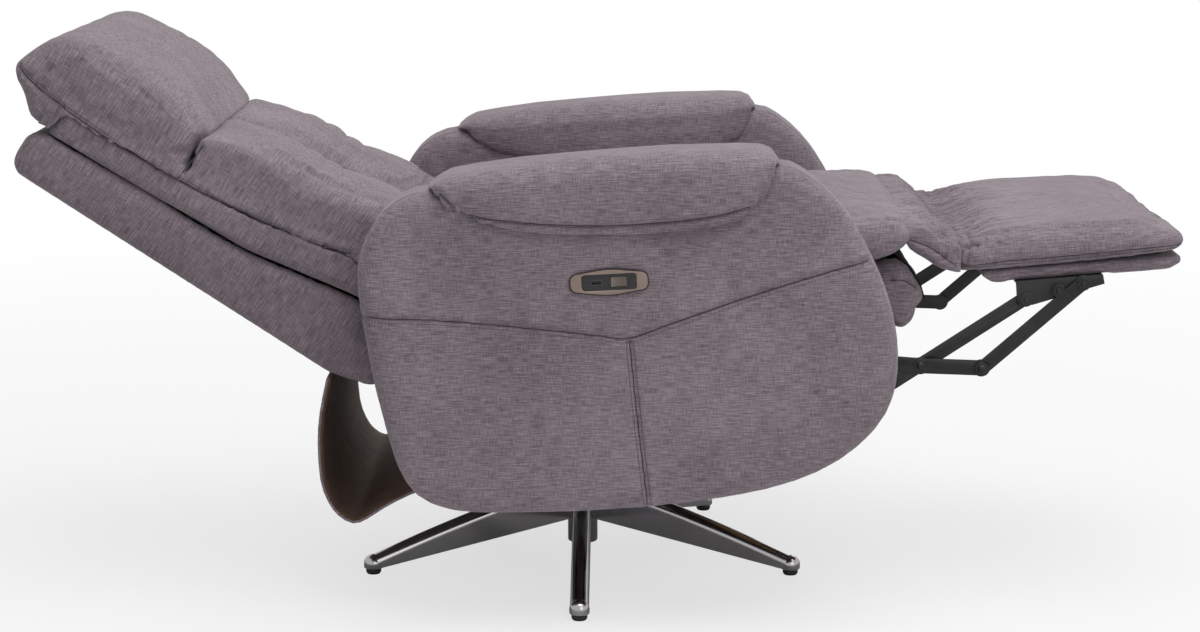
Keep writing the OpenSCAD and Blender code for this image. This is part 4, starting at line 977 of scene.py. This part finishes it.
# %% Seat cushion
def soft_folds(piece, amount, scale, seed, mask=None, stretch=(1, 1, 1)):
    """Gentle unevenness of a stuffed cover: smooth waves added in a few random directions."""
    maker = np.random.default_rng(seed)
    points, outs = points_of(piece.data), normals_of(piece.data)
    wave = np.zeros(len(points))
    for k in range(7):
        way = maker.normal(size=3) * np.array(stretch)
        way /= np.linalg.norm(way)
        pace = 2 * math.pi / (scale * maker.uniform(0.7, 1.5))
        wave += np.sin(points @ way * pace + maker.uniform(0, 6.28)) / 7 ** 0.5
    if mask is not None:
        wave = wave * mask(points)
    move_points(piece.data, points + outs * (wave * amount)[:, None])


seat = refined(cushions["seat_cushion_soft"]["piece"], cover_cloth, smoothing=2)
points = points_of(seat.data)
roll = eased(points[:, 0], 0.385, 0.435) * eased(points[:, 2], 0.490, 0.515)
points += np.stack([roll * 0.014, roll * 0, roll * 0.007], 1)
move_points(seat.data, points)
soft_folds(seat, 0.0012, 0.11, 5, lambda p: (p[:, 2] > 0.46) * 1.0)
for side in (-1, 1):
    for edge_line in slice_line(seat, (0, side * 0.238, 0), (0, 1, 0))[:1]:
        edge_line = even_line(edge_line, 0.003)
        edge_line = edge_line[edge_line[:, 2] > 0.462]
        sewn_in(seat, edge_line, 0.0022, 0.0036, 0.0012, 0.3)
lay_weave(seat)
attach(seat, "carcass")
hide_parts("seat_cushion")
print("seat:", len(seat.data.polygons), "faces")

# %% [markdown]
# ## Legrest
# The legrest is a boxed pad on an upholstered board. Between it and the seat hangs a padded flap that
# gathers into small pleats where it is sewn to the pad. The pleats are irregular, so their places are
# drawn from a seeded list and their depth fades away from the seam.

# %% Legrest pad, board and flap
def pleated(piece, seam_x, reach, depth, seed, half=0.25, rising=1):
    """Gathers the cover into irregular pleats across the chair, deepest at a seam and fading over reach."""
    maker = np.random.default_rng(seed)
    folds = np.cumsum(maker.uniform(0.014, 0.027, 60)) - half - 0.03
    deep = maker.uniform(0.55, 1.15, 60)
    long = maker.uniform(0.6, 1.3, 60)
    points, outs = points_of(piece.data), normals_of(piece.data)
    away = np.clip((seam_x - points[:, 0]) * rising, 0, None)
    press = np.zeros(len(points))
    for place, d, l in zip(folds, deep, long):
        drift = place + away * maker.uniform(-0.25, 0.25)
        crease = np.exp(-((points[:, 1] - drift) / 0.0042) ** 2)
        bulge = np.exp(-((points[:, 1] - drift - 0.009) / 0.007) ** 2)
        press += (-crease + 0.45 * bulge) * d * np.exp(-(away / (reach * l)) ** 1.6)
    top = np.clip(outs[:, 2] * 1.6 + 0.2, 0, 1)
    move_points(piece.data, points + outs * (press * depth * top)[:, None])


legrest_pad = refined(cushions["legrest_pad_soft"]["piece"], cover_cloth, smoothing=2)
legrest_surface = tree_of(legrest_pad.data)
legrest_rows, legrest_shade_lines = [], []
for side in (-1, 1):
    line, outs = side_line(legrest_surface, legrest_seam, side)
    if len(line) > 10:
        sewn_in(legrest_pad, line, 0.0026, 0.0036, 0.0012, 0.35)
        legrest_shade_lines.append(line)
        legrest_rows.append(beside(line, outs, 0.004 * side))
soft_folds(legrest_pad, 0.0010, 0.10, 9, lambda p: (p[:, 2] > 0.5) * 1.0)
pleated(legrest_pad, 0.524, 0.050, 0.0095, 17, rising=-1)
points = points_of(legrest_pad.data)
points[:, 0] -= (1 - eased(points[:, 0], 0.524, 0.545)) * 0.0022
move_points(legrest_pad.data, points)
for side in (-1, 1):
    surface = tree_of(legrest_pad.data)
    for place, rise in ((529, 518), (538, 507), (547, 516), (556, 506), (566, 512)):
        crease, _ = side_line(surface, [(place, 489), (place + 2, 497), (place + 6, rise)], side)
        if len(crease) > 4:
            sewn_in(legrest_pad, crease, 0.0036, 0.0030, 0.0014, 0.1)
lay_weave(legrest_pad, math.radians(4.7))
legrest_board = refined(cushions["legrest_board_soft"]["piece"], band_cloth, smoothing=1, subdivide=0)
lay_weave(legrest_board, math.radians(4.7))
for piece, node, fill in ((legrest_pad, "legrest_pad", 0.8), (legrest_board, "legrest_board", 1.0)):
    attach(piece, "legrest")
    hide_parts(node)
legrest_surface = tree_of(legrest_pad.data)
legrest_rows = [settled(row, legrest_surface) for row in legrest_rows]
stitched("legrest_stitches", legrest_rows, "legrest")
# painted seam shade: dark lines in the grooves of the legrest pad's side seams
seam_shade_cord("legrest_seams", [settled(row, legrest_surface, 0.0001) for row in legrest_shade_lines], "legrest")


def side_creases(piece, places, top):
    """Short creases that run up the side of a gathered cover."""
    for side in (-1, 1):
        surface = tree_of(piece.data)
        for number, place in enumerate(places):
            rise = top - 12 * (number % 2)
            crease, _ = side_line(surface, [(place, 490), (place + 2, 498), (place + 6, rise)], side)
            if len(crease) > 4:
                sewn_in(piece, crease, 0.0034, 0.0030, 0.0012, 0.1)


flap = refined(cushions["legrest_flap_soft"]["piece"], cover_cloth, smoothing=1)
points = points_of(flap.data)
lip = 1 - eased(points[:, 0], 0.446, 0.478)
points += np.stack([lip * -0.006, lip * 0, lip * -0.006], 1)
rear = 1 - eased(points[:, 0], 0.505, 0.521)
points[:, 0] += (1 - rear) * 0.0016
move_points(flap.data, points)
pleated(flap, 0.521, 0.045, 0.0095, 17)
side_creases(flap, (497, 506, 515), 512)
flap_shade_lines = []
for side in (-1, 1):
    line, _ = side_line(tree_of(flap.data), flap_seam, side)
    if len(line) > 10:
        sewn_in(flap, line, 0.0018, 0.0032, 0.0008)
        flap_shade_lines.append(settled(line, tree_of(flap.data), 0.0001))
lay_weave(flap)
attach(flap, "carcass")
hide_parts("legrest_flap")
# painted seam shade: dark lines in the grooves of the flap's side seams
flap_seams = seam_shade_cord("flap_seams", flap_shade_lines, "carcass")
for piece in (flap, flap_seams):
    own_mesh(piece)
print("flap:", len(flap.data.polygons), "faces")

# %% [markdown]
# ## Skirt
# Under the seat roll a padded skirt hides the seat box. A strip of black lining cloth joins its top edge to
# the cover above.

# %% Skirt and lining cloth
skirt = refined(cushions["front_skirt_soft"]["piece"], cover_cloth, smoothing=1)
skirt_folds = smooth_line([(0.429, y, 0.457 + 0.002 * math.sin(y * 90)) for y in np.linspace(-0.21, 0.21, 12)], 0.003)
sewn_in(skirt, settled(skirt_folds, tree_of(skirt.data), 0), 0.0028, 0.0042, 0.0016, 0.8, 0.03)
soft_folds(skirt, 0.0026, 0.05, 21, stretch=(0.3, 1, 0.3))
lay_weave(skirt)
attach(skirt, "carcass")
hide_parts("front_skirt")
skirt_shade_lines = [settled(skirt_folds, tree_of(skirt.data), 0.0001)]
for side in (-1, 1):
    line, _ = side_line(tree_of(skirt.data), [(429, 457), (445, 457), (462, 447)], side)
    if len(line) > 5:
        skirt_shade_lines.append(settled(line, tree_of(skirt.data), 0.0001))
# painted seam shade: dark lines in the skirt's top fold and in its side seams
skirt_seams = seam_shade_cord("skirt_seams", skirt_shade_lines, "carcass")
for piece in (skirt, skirt_seams):
    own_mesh(piece)

lining = merged_copy("skirt_lining", "skirt_cloth")
baked(lining, ("SUBSURF", {"levels": 3, "render_levels": 3, "subdivision_type": "SIMPLE"}))
soft_folds(lining, 0.0006, 0.05, 31)
finished_as(lining, lining_cloth)
lay_weave(lining)
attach(lining, "carcass")
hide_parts("skirt_cloth")
lo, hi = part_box("skirt_cloth")
lining_area = sum(p.area for p in lining.data.polygons) / 2
lining_area / (hi.y - lo.y)
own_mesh(lining)
print("lining cloth:", round(lining_area, 4), "square metres")

# %% [markdown]
# ## Back
# The back has a rear case, a bordered cushion with a long seam down each side, a lumbar cushion of two
# lobes with a sewn valley between them, and a head cushion. The cushions meet in tight seams.

# %% Back cushions
case = refined(cushions["back_case_soft"]["piece"], band_cloth, smoothing=1)
band = refined(cushions["back_band_soft"]["piece"], band_cloth, smoothing=1)
lumbar = refined(cushions["lumbar_soft"]["piece"], cover_cloth, smoothing=2)
head = refined(cushions["head_soft"]["piece"], cover_cloth, smoothing=2)
soft_folds(lumbar, 0.0014, 0.13, 41, stretch=(1, 0.7, 1))


def filled_out(piece, outline, centre, span, closed_at, mask=None):
    """Stretches a cushion's section about a centre, angle by angle, until its middle fills an outline. Outline and
    centre are in the back's own frame, in millimetres; the change fades out beyond the outline's ends."""
    x, y, z = back_local(points_of(piece.data))
    dx, dz = x - centre[0] / 1000, z - centre[1] / 1000
    angle, reach = np.arctan2(dz, dx), np.hypot(dx, dz)
    aim = np.array(outline) / 1000 - np.array(centre) / 1000
    aim_angle, aim_reach = np.arctan2(aim[:, 1], aim[:, 0]), np.hypot(aim[:, 0], aim[:, 1])
    order = np.argsort(aim_angle)
    wanted = np.interp(angle, aim_angle[order], aim_reach[order])
    bins = np.linspace(-math.pi, math.pi, 73)
    which = np.digitize(angle, bins) - 1
    core = np.abs(y) < span
    widest = np.array([reach[core & (which == k)].max(initial=0) for k in range(72)])
    filled = widest > 0
    for _ in range(4):
        widest = np.convolve(np.pad(widest, 1, mode="edge"), (0.25, 0.5, 0.25), "valid")
    present = np.interp(angle, ((bins[1:] + bins[:-1]) / 2)[filled], widest[filled])
    share = eased(angle, aim_angle.min() - closed_at, aim_angle.min()) * (
        1 - eased(angle, aim_angle.max(), aim_angle.max() + closed_at))
    share = share * (mask(x, z) if mask else 1)
    new = reach * (1 + (wanted / present - 1) * share)
    new = np.where(share > 0.5, np.minimum(new, wanted * 1.01), new)
    move_points(piece.data, back_world(centre[0] / 1000 + new * np.cos(angle), y, centre[1] / 1000 + new * np.sin(angle)))


head_outline = [(-65, 547), (-48, 593), (-25, 615), (0, 620), (23, 617), (45, 607), (63, 590), (77, 562), (85, 531),
                (89, 496), (89, 463), (84, 433), (72, 396), (50, 364), (14, 361)]
filled_out(head, head_outline, (20, 480), 0.2, 0.25,
           lambda x, z: np.maximum(eased(x, -0.012, 0.012), eased(z, 0.550, 0.578)))


def relaxed(piece, weight, rounds):
    """Evens a piece where weight says so: every point moves towards the middle of its neighbours."""
    mesh = piece.data
    ends = np.empty(len(mesh.edges) * 2, int)
    mesh.edges.foreach_get("vertices", ends)
    a, b = ends[::2], ends[1::2]
    points = points_of(mesh)
    count = np.bincount(ends, minlength=len(points))[:, None]
    share = np.clip(weight, 0, 1)[:, None] * 0.6
    for _ in range(rounds):
        total = np.zeros_like(points)
        np.add.at(total, a, points[b])
        np.add.at(total, b, points[a])
        points += (total / count - points) * share
    move_points(mesh, points)


x, y, z = back_local(points_of(head.data))
corner = np.exp(-(((x + 0.062) / 0.016) ** 2 + ((z - 0.548) / 0.016) ** 2))
relaxed(head, corner * 1.3, 12)
lumbar_outline = [(-12, 358), (20, 359), (44, 358), (54, 349), (64, 334), (78, 306), (85, 285), (88, 246), (91, 208),
                  (99, 172), (110, 130), (115, 84)]
filled_out(lumbar, lumbar_outline, (30, 230), 0.2, 0.2)
x, y, z = back_local(points_of(head.data))
ear = np.exp(-(((x + 0.006) / 0.026) ** 2 + ((np.abs(y) - 0.246) / 0.035) ** 2 + ((z - 0.612) / 0.035) ** 2))
move_points(head.data, back_world(x - 0.004 * ear, y + np.sign(y) * 0.004 * ear, z + 0.018 * ear))
x, y, z = back_local(points_of(head.data))
lower_lip = (1 - eased(z, 0.364, 0.394)) * eased(x, -0.005, 0.03)
move_points(head.data, back_world(x + 0.005 * lower_lip, y, z - 0.008 * lower_lip))
soft_folds(head, 0.0007, 0.12, 43, stretch=(1, 0.7, 1))
x, y, z = back_local(points_of(lumbar.data))
z = z + 0.007 * eased(z, 0.322, 0.350) * eased(x, -0.005, 0.03)
front = eased(x, 0.02, 0.07)
x = x - 0.009 * np.exp(-(y / 0.014) ** 2) * front * eased(z, 0.08, 0.16)
move_points(lumbar.data, back_world(x, y, z))
for side in (-1, 1):
    surface = tree_of(head.data)
    for dent, deep in (([(16, 586), (2, 589), (-8, 581)], 0.005), ([(49, 554), (33, 560), (16, 562)], 0.004),
                       ([(-6, 604), (-14, 588)], 0.003)):
        path = smooth_line([back_place(a / 1000, b / 1000, side * 0.4) for a, b in dent], 0.003)
        line, _ = cast_on(surface, path, (0, -side, 0))
        if len(line) > 3:
            sewn_in(head, line, deep, 0.0055, 0.0016, 0.2)


def back_line(points):
    """Side points given in the back's own frame as (x, z) in millimetres, as side points in the chair's frame."""
    placed = [back_place(x / 1000, z / 1000) for x, z in points]
    return [(x * 1000, z * 1000) for x, _, z in placed]


def drawn_to(piece, line, pull, width):
    """Fills a groove: draws the points near a line towards it."""
    points = points_of(piece.data)
    away, which = distance_to(points, line, width * 3)
    near = away < 1
    step = (line[which] - points) / np.maximum(away, 1e-6)[:, None]
    step[:, 1] = 0
    travel = np.minimum(pull * np.exp(-(away / width) ** 2), away * 0.8) * near
    move_points(piece.data, points + step * travel[:, None])


band_seam = back_line([(-20, 541), (-22, 457), (-18, 358), (-8, 262), (9, 166), (24, 112)])
ear_seam = back_line([(-4, 622), (-11, 603), (-16, 574), (-19, 543)])
lobe_seam = back_line([(-15, 362), (11, 360), (38, 358)])
groove = back_line([(-63, 548), (-61, 527), (-60, 496), (-59, 454), (-57, 400), (-54, 350), (-40, 228), (-7, 78)])
back_rows, back_shade_lines = [], []
for side in (-1, 1):
    for piece in (case, band):
        line, _ = side_line(tree_of(case.data, band.data), groove, side)
        drawn_to(piece, line, 0.0055, 0.010)
    whole = tree_of(band.data, lumbar.data, head.data)
    for number, seam in enumerate((band_seam, ear_seam, lobe_seam)):
        line, outs = side_line(whole, seam, side)
        if len(line) < 8:
            continue
        flank = np.abs(line[:, 1]) > 0.2
        line, outs = line[flank], outs[flank]
        for piece in (band, lumbar, head):
            sewn_in(piece, line, 0.0016, 0.0032, 0.0008, 0.2)
        back_shade_lines.append(line)
        if number < 2:
            back_rows.append(beside(line, outs, -0.005 * side))
for side in (-1, 1):
    for plane in (0.212,):
        for edge_line in slice_line(case, (0, side * plane, 0), (0, 1, 0))[:1]:
            sewn_in(case, even_line(edge_line, 0.004), 0.0016, 0.0034, 0.0008, 0.3)
for piece, node, fill in ((case, "back_shell", 0.9), (band, "back_cushion", 0.8), (lumbar, "lumbar_cushion", 0.7),
                          (head, "head_cushion", 0.7)):
    lay_weave(piece, back_tilt)
    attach(piece, "back")
    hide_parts(node)
back_surface = tree_of(band.data, lumbar.data, head.data)
stitched("back_stitches", [settled(row, back_surface) for row in back_rows], "back")
# painted seam shade: dark lines in the grooves of the band, ear and lobe seams
seam_shade_cord("back_seams", [settled(row, back_surface, 0.0001) for row in back_shade_lines], "back", 0.0009)

# %% [markdown]
# ## Rear apron
# A thin bent board closes the gap below the back. Cloth covers its outer side.

# %% Apron board and cover
def cut_across(piece, count, low, high):
    """Adds points along a bent strip."""
    bm = bmesh.new()
    bm.from_mesh(piece.data)
    for y in np.linspace(low, high, count):
        bmesh.ops.bisect_plane(bm, geom=bm.verts[:] + bm.edges[:] + bm.faces[:], plane_co=(0, y, 0),
                               plane_no=(0, 1, 0))
    for z in np.linspace(0.13, 0.31, 13):
        bmesh.ops.bisect_plane(bm, geom=bm.verts[:] + bm.edges[:] + bm.faces[:], plane_co=(0, 0, z),
                               plane_no=(0, 0, 1))
    bm.to_mesh(piece.data)
    bm.free()


lo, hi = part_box("rear_apron_cover")
for name, node, material, slot in (("apron_board", "rear_apron_board", fibre_board, "brown_board"),
                                   ("apron_cover", "rear_apron_cover", cover_cloth, "fabric")):
    piece = merged_copy(name, node)
    cut_across(piece, 17, lo.y + 0.02, hi.y - 0.02)
    finished_as(piece, material, smooth=False)
    piece.data.set_sharp_from_angle(angle=math.radians(50))
    piece.data.polygons.foreach_set("use_smooth", [True] * len(piece.data.polygons))
    lay_weave(piece)
    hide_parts(node)
    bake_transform(piece)
    if name == "apron_cover":
        area = sum(p.area for p in piece.data.polygons) / 2
        area / (hi.y - lo.y)
    print(name, len(piece.data.polygons), "faces")

# %% [markdown]
# ## Star base
# The legs are cast and chromed: a round crown, straight sides and a domed boss over each glide. They are
# lofted here from many smooth sections, because a mirror finish shows every facet.

# %% Star base
def lofted(rings, closed_ends=True):
    """A mesh through rings of equally many points."""
    points = [tuple(p) for ring in rings for p in ring]
    n = len(rings[0])
    faces = [(k * n + i, k * n + (i + 1) % n, (k + 1) * n + (i + 1) % n, (k + 1) * n + i)
             for k in range(len(rings) - 1) for i in range(n)]
    if closed_ends:
        faces += [tuple(reversed(range(n))), tuple((len(rings) - 1) * n + i for i in range(n))]
    return points, faces


def turned(profile, turns=40, centre=(0, 0)):
    """A turned form from (radius, height) pairs, closed at its axis."""
    points, faces = [], []
    for r, z in profile:
        for k in range(turns):
            a = 2 * math.pi * k / turns
            points.append((centre[0] + r * math.cos(a), centre[1] + r * math.sin(a), z))
    for j in range(len(profile) - 1):
        for k in range(turns):
            faces.append((j * turns + k, j * turns + (k + 1) % turns, (j + 1) * turns + (k + 1) % turns,
                          (j + 1) * turns + k))
    faces.append(tuple(reversed(range(turns))))
    faces.append(tuple((len(profile) - 1) * turns + k for k in range(turns)))
    return points, faces


def joined(name, parts, material, sharp=35):
    """Several closed forms in one mesh, smooth except at sharp edges."""
    points, faces = [], []
    for p, f in parts:
        start = len(points)
        points += p
        faces += [tuple(start + i for i in face) for face in f]
    mesh = bpy.data.meshes.new(name)
    mesh.from_pydata(points, [], faces)
    bm = bmesh.new()
    bm.from_mesh(mesh)
    bmesh.ops.recalc_face_normals(bm, faces=bm.faces)
    bm.to_mesh(mesh)
    bm.free()
    piece = shown_object(name, mesh)
    finished_as(piece, material)
    mesh.set_sharp_from_angle(angle=math.radians(sharp))
    return piece


base_radius, leg_half, glide_height = 0.319, 0.013, 0.008
crown_height, hub_depth, foot_depth = 0.122, 0.058, 0.020
foot_top = glide_height + foot_depth
parts = []
for number in range(5):
    angle = math.radians(-90 + 72 * number)
    way, across = np.array([math.cos(angle), math.sin(angle), 0]), np.array([-math.sin(angle), math.cos(angle), 0])
    rings = []
    for t in np.linspace(0.02, 1.0, 30):
        top = foot_top + (crown_height - foot_top) * (1 - t ** 1.3)
        low = glide_height + (crown_height - hub_depth - glide_height) * (1 - t)
        section = [(-leg_half + 0.0012, low), (-leg_half, low + 0.0012)]
        section += [(-leg_half, top - leg_half - 0.001)]
        section += [(leg_half * math.cos(a), top - leg_half + leg_half * math.sin(a))
                    for a in np.linspace(math.pi, 0, 15)]
        section += [(leg_half, top - leg_half - 0.001), (leg_half, low + 0.0012), (leg_half - 0.0012, low)]
        rings.append([way * base_radius * t + across * s[0] + np.array([0, 0, s[1]]) for s in section])
    parts.append(lofted(rings))
    boss = [(0.0125, glide_height), (0.0138, glide_height + 0.0012), (0.014, glide_height + 0.003)]
    boss += [(0.014 * math.cos(a), glide_height + 0.0066 + 0.014 * math.sin(a))
             for a in np.linspace(0, math.pi / 2 * 0.985, 12)]
    parts.append(turned(boss, 40, (way[0] * base_radius, way[1] * base_radius)))
hub = [(0.0195, 0.023), (0.0213, 0.0237), (0.022, 0.0255), (0.022, 0.1285), (0.0212, 0.1312), (0.0195, 0.132)]
parts.append(turned(hub, 56))
star = joined("star_base_cast", parts, chrome, 38)
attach(star, "base")
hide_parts("star_base")
print("star base:", len(star.data.polygons), "faces")

# %% [markdown]
# ## Steel parts
# Pressed steel has small rounded edges that catch the light. A copy of each CAD part is merged, its flat
# triangles are joined into clean faces, and a narrow bevel runs round its edges.

# %% Steel and moulded parts with broken edges
def broken_edges(node, body, material, width=0.0006, sharp=32):
    piece = merged_copy(node + "_finished", node)
    bm = bmesh.new()
    bm.from_mesh(piece.data)
    bmesh.ops.dissolve_limit(bm, angle_limit=math.radians(1.5), verts=bm.verts, edges=bm.edges)
    bm.to_mesh(piece.data)
    bm.free()
    baked(piece, ("BEVEL", {"width": width, "segments": 2, "limit_method": "ANGLE",
                            "angle_limit": math.radians(40), "use_clamp_overlap": True}))
    finished_as(piece, material)
    piece.data.set_sharp_from_angle(angle=math.radians(sharp))
    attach(piece, body)
    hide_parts(node)
    return piece


body_of_node = {n: b for b, group in frame["record"]["behaviour"]["bodies"].items() for n in group}
steel_parts = [part + "_" + side for part in ("side_plate", "front_link", "lift_link", "upper_link", "rear_link",
                                              "recline_link", "back_bracket", "legrest_bracket")
               for side in ("right", "left")]
for node in steel_parts + ["drive_tube", "cross_beams", "actuator_bracket"]:
    broken_edges(node, body_of_node[node], black_steel)
broken_edges("actuator_motor", "actuator", motor_black, 0.0015)
print("steel parts:", len(steel_parts) + 3)

# %% [markdown]
# ## Rivets and nuts
# The pivots of the linkage show shouldered rivets, and the legrest bracket is bolted on. One tree places a
# washer and a domed head at every point, and turns each outwards.

# %% Rivets
def rivet_tree():
    tree = bpy.data.node_groups.new("rivet_heads", "GeometryNodeTree")
    for name, kind, way, value in (("Places", "NodeSocketGeometry", "INPUT", None),
                                   ("Head", "NodeSocketObject", "INPUT", None),
                                   ("Size", "NodeSocketFloat", "INPUT", 1.0),
                                   ("Metal", "NodeSocketMaterial", "INPUT", None),
                                   ("Rivets", "NodeSocketGeometry", "OUTPUT", None)):
        socket = tree.interface.new_socket(name, in_out=way, socket_type=kind)
        if value is not None:
            socket.default_value = value
    nodes, link = tree.nodes, tree.links.new
    source, result = nodes.new("NodeGroupInput"), nodes.new("NodeGroupOutput")
    form = nodes.new("GeometryNodeObjectInfo")
    copies = nodes.new("GeometryNodeInstanceOnPoints")
    facing = nodes.new("GeometryNodeInputNamedAttribute")
    facing.data_type = "FLOAT_VECTOR"
    facing.inputs["Name"].default_value = "facing"
    turn = nodes.new("FunctionNodeAlignRotationToVector")
    turn.axis = "Z"
    real = nodes.new("GeometryNodeRealizeInstances")
    paint = nodes.new("GeometryNodeSetMaterial")
    link(source.outputs["Places"], copies.inputs["Points"])
    link(source.outputs["Head"], form.inputs["Object"])
    link(form.outputs["Geometry"], copies.inputs["Instance"])
    link(facing.outputs["Attribute"], turn.inputs["Vector"])
    link(turn.outputs["Rotation"], copies.inputs["Rotation"])
    link(source.outputs["Size"], copies.inputs["Scale"])
    link(copies.outputs["Instances"], real.inputs["Geometry"])
    link(real.outputs["Geometry"], paint.inputs["Geometry"])
    link(source.outputs["Metal"], paint.inputs["Material"])
    link(paint.outputs["Geometry"], result.inputs["Rivets"])
    return tree


rivet_heads = rivet_tree()
dome = turned([(0.0100, 0.0), (0.0100, 0.0006), (0.0094, 0.0010), (0.0068, 0.0010), (0.0066, 0.0022), (0.0056, 0.0034),
               (0.0036, 0.0043), (0.0012, 0.0046)], 24)
hexagon = [[(0.0102 * math.cos(a), 0.0102 * math.sin(a), z) for a in np.linspace(0, 2 * math.pi, 6, endpoint=False)]
           for z in (0.0012, 0.0052)]
bolt = [turned([(0.0118, 0.0), (0.0118, 0.0009), (0.0112, 0.0012), (0.0030, 0.0012)], 24), lofted(hexagon),
        turned([(0.0048, 0.0050), (0.0048, 0.0080), (0.0040, 0.0088)], 18)]


def heads(name, parts, places, body, size=1.0, metal=black_steel):
    """Fixings at places, each (x, y, z, side) in millimetres, facing out to that side."""
    form = joined(name + "_form", parts, metal, 30)
    mesh = bpy.data.meshes.new(name)
    mesh.from_pydata([(x / 1000, y / 1000, z / 1000) for x, y, z, side in places], [], [])
    facing = mesh.attributes.new("facing", "FLOAT_VECTOR", "POINT")
    facing.data.foreach_set("vector", [v for *_, side in places for v in (0, side, 0)])
    piece = grown_by(shown_object(name, mesh), rivet_heads, {"Head": form, "Size": size, "Metal": metal})
    bpy.data.objects.remove(form)
    piece.data.set_sharp_from_angle(angle=math.radians(30))
    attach(piece, body)
    return piece


both = (-1, 1)
heads("lift_rivets", [dome], [(469.0, s * 244.2, 341.1, s) for s in both], "front_links", 0.9)
heads("tip_rivets", [dome], [(553.0, s * 250.6, 338.2, s) for s in both], "front_links", 0.95)
heads("bracket_bolts", [*bolt], [(x, s * (250.4 if x > 680 else 246.3), z, s) for s in both
                                 for x, z in ((611.0, 435.1), (655.0, 447.0), (688.1, 458.1))], "legrest", 0.8)
print("rivets placed")

# %% [markdown]
# ## Control plate
# A satin bezel with a dark edge line frames a gloss black insert with a charging socket and a rocker.

# %% Control plate
bezel = broken_edges("switch_bezel", "carcass", taupe_metal, 0.0008, 14)
edge = merged_copy("bezel_edge", "switch_bezel")
points = points_of(edge.data)
middle = (points.min(0) + points.max(0)) / 2
half = (points.max(0) - points.min(0)) / 2
points = middle + (points - middle) * (1 + 0.0011 / half) * (1, 1, 1) + (0, 0.0012, 0)
move_points(edge.data, points)
finished_as(edge, dark_rim)
edge.data.set_sharp_from_angle(angle=math.radians(32))
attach(edge, "carcass")
insert = broken_edges("switch_insert", "carcass", glossy_black, 0.0005, 14)
rocker = broken_edges("rocker_switch", "rocker", rocker_bronze, 0.0007, 14)
socket = broken_edges("usb_socket", "carcass", dark_zinc, 0.0002, 14)

# %% [markdown]
# ## Finishes for the carried over parts
# What is left of the CAD model is shown as it is. It gets the same procedural finishes by its slot.

# %% Finish the remaining nodes
slot_material = {"chrome": chrome, "zinc": zinc, "black_steel": black_steel, "black_plastic": glossy_black,
                 "black_rubber": glide_black, "fabric": cover_cloth, "black_cloth": lining_cloth, "wood": plywood,
                 "brown_board": fibre_board, "taupe_metal": taupe_metal, "rocker": rocker_bronze,
                 "black_motor": motor_black}
for part in frame["record"]["subparts"]:
    node = cad_nodes[part["node"]]
    if not node.hide_render:
        node.data.materials.clear()
        node.data.materials.append(slot_material[part["material_slot"]])
shown_nodes = [n for n, o in cad_nodes.items() if not o.hide_render]
print("carried over:", len(shown_nodes), "nodes")
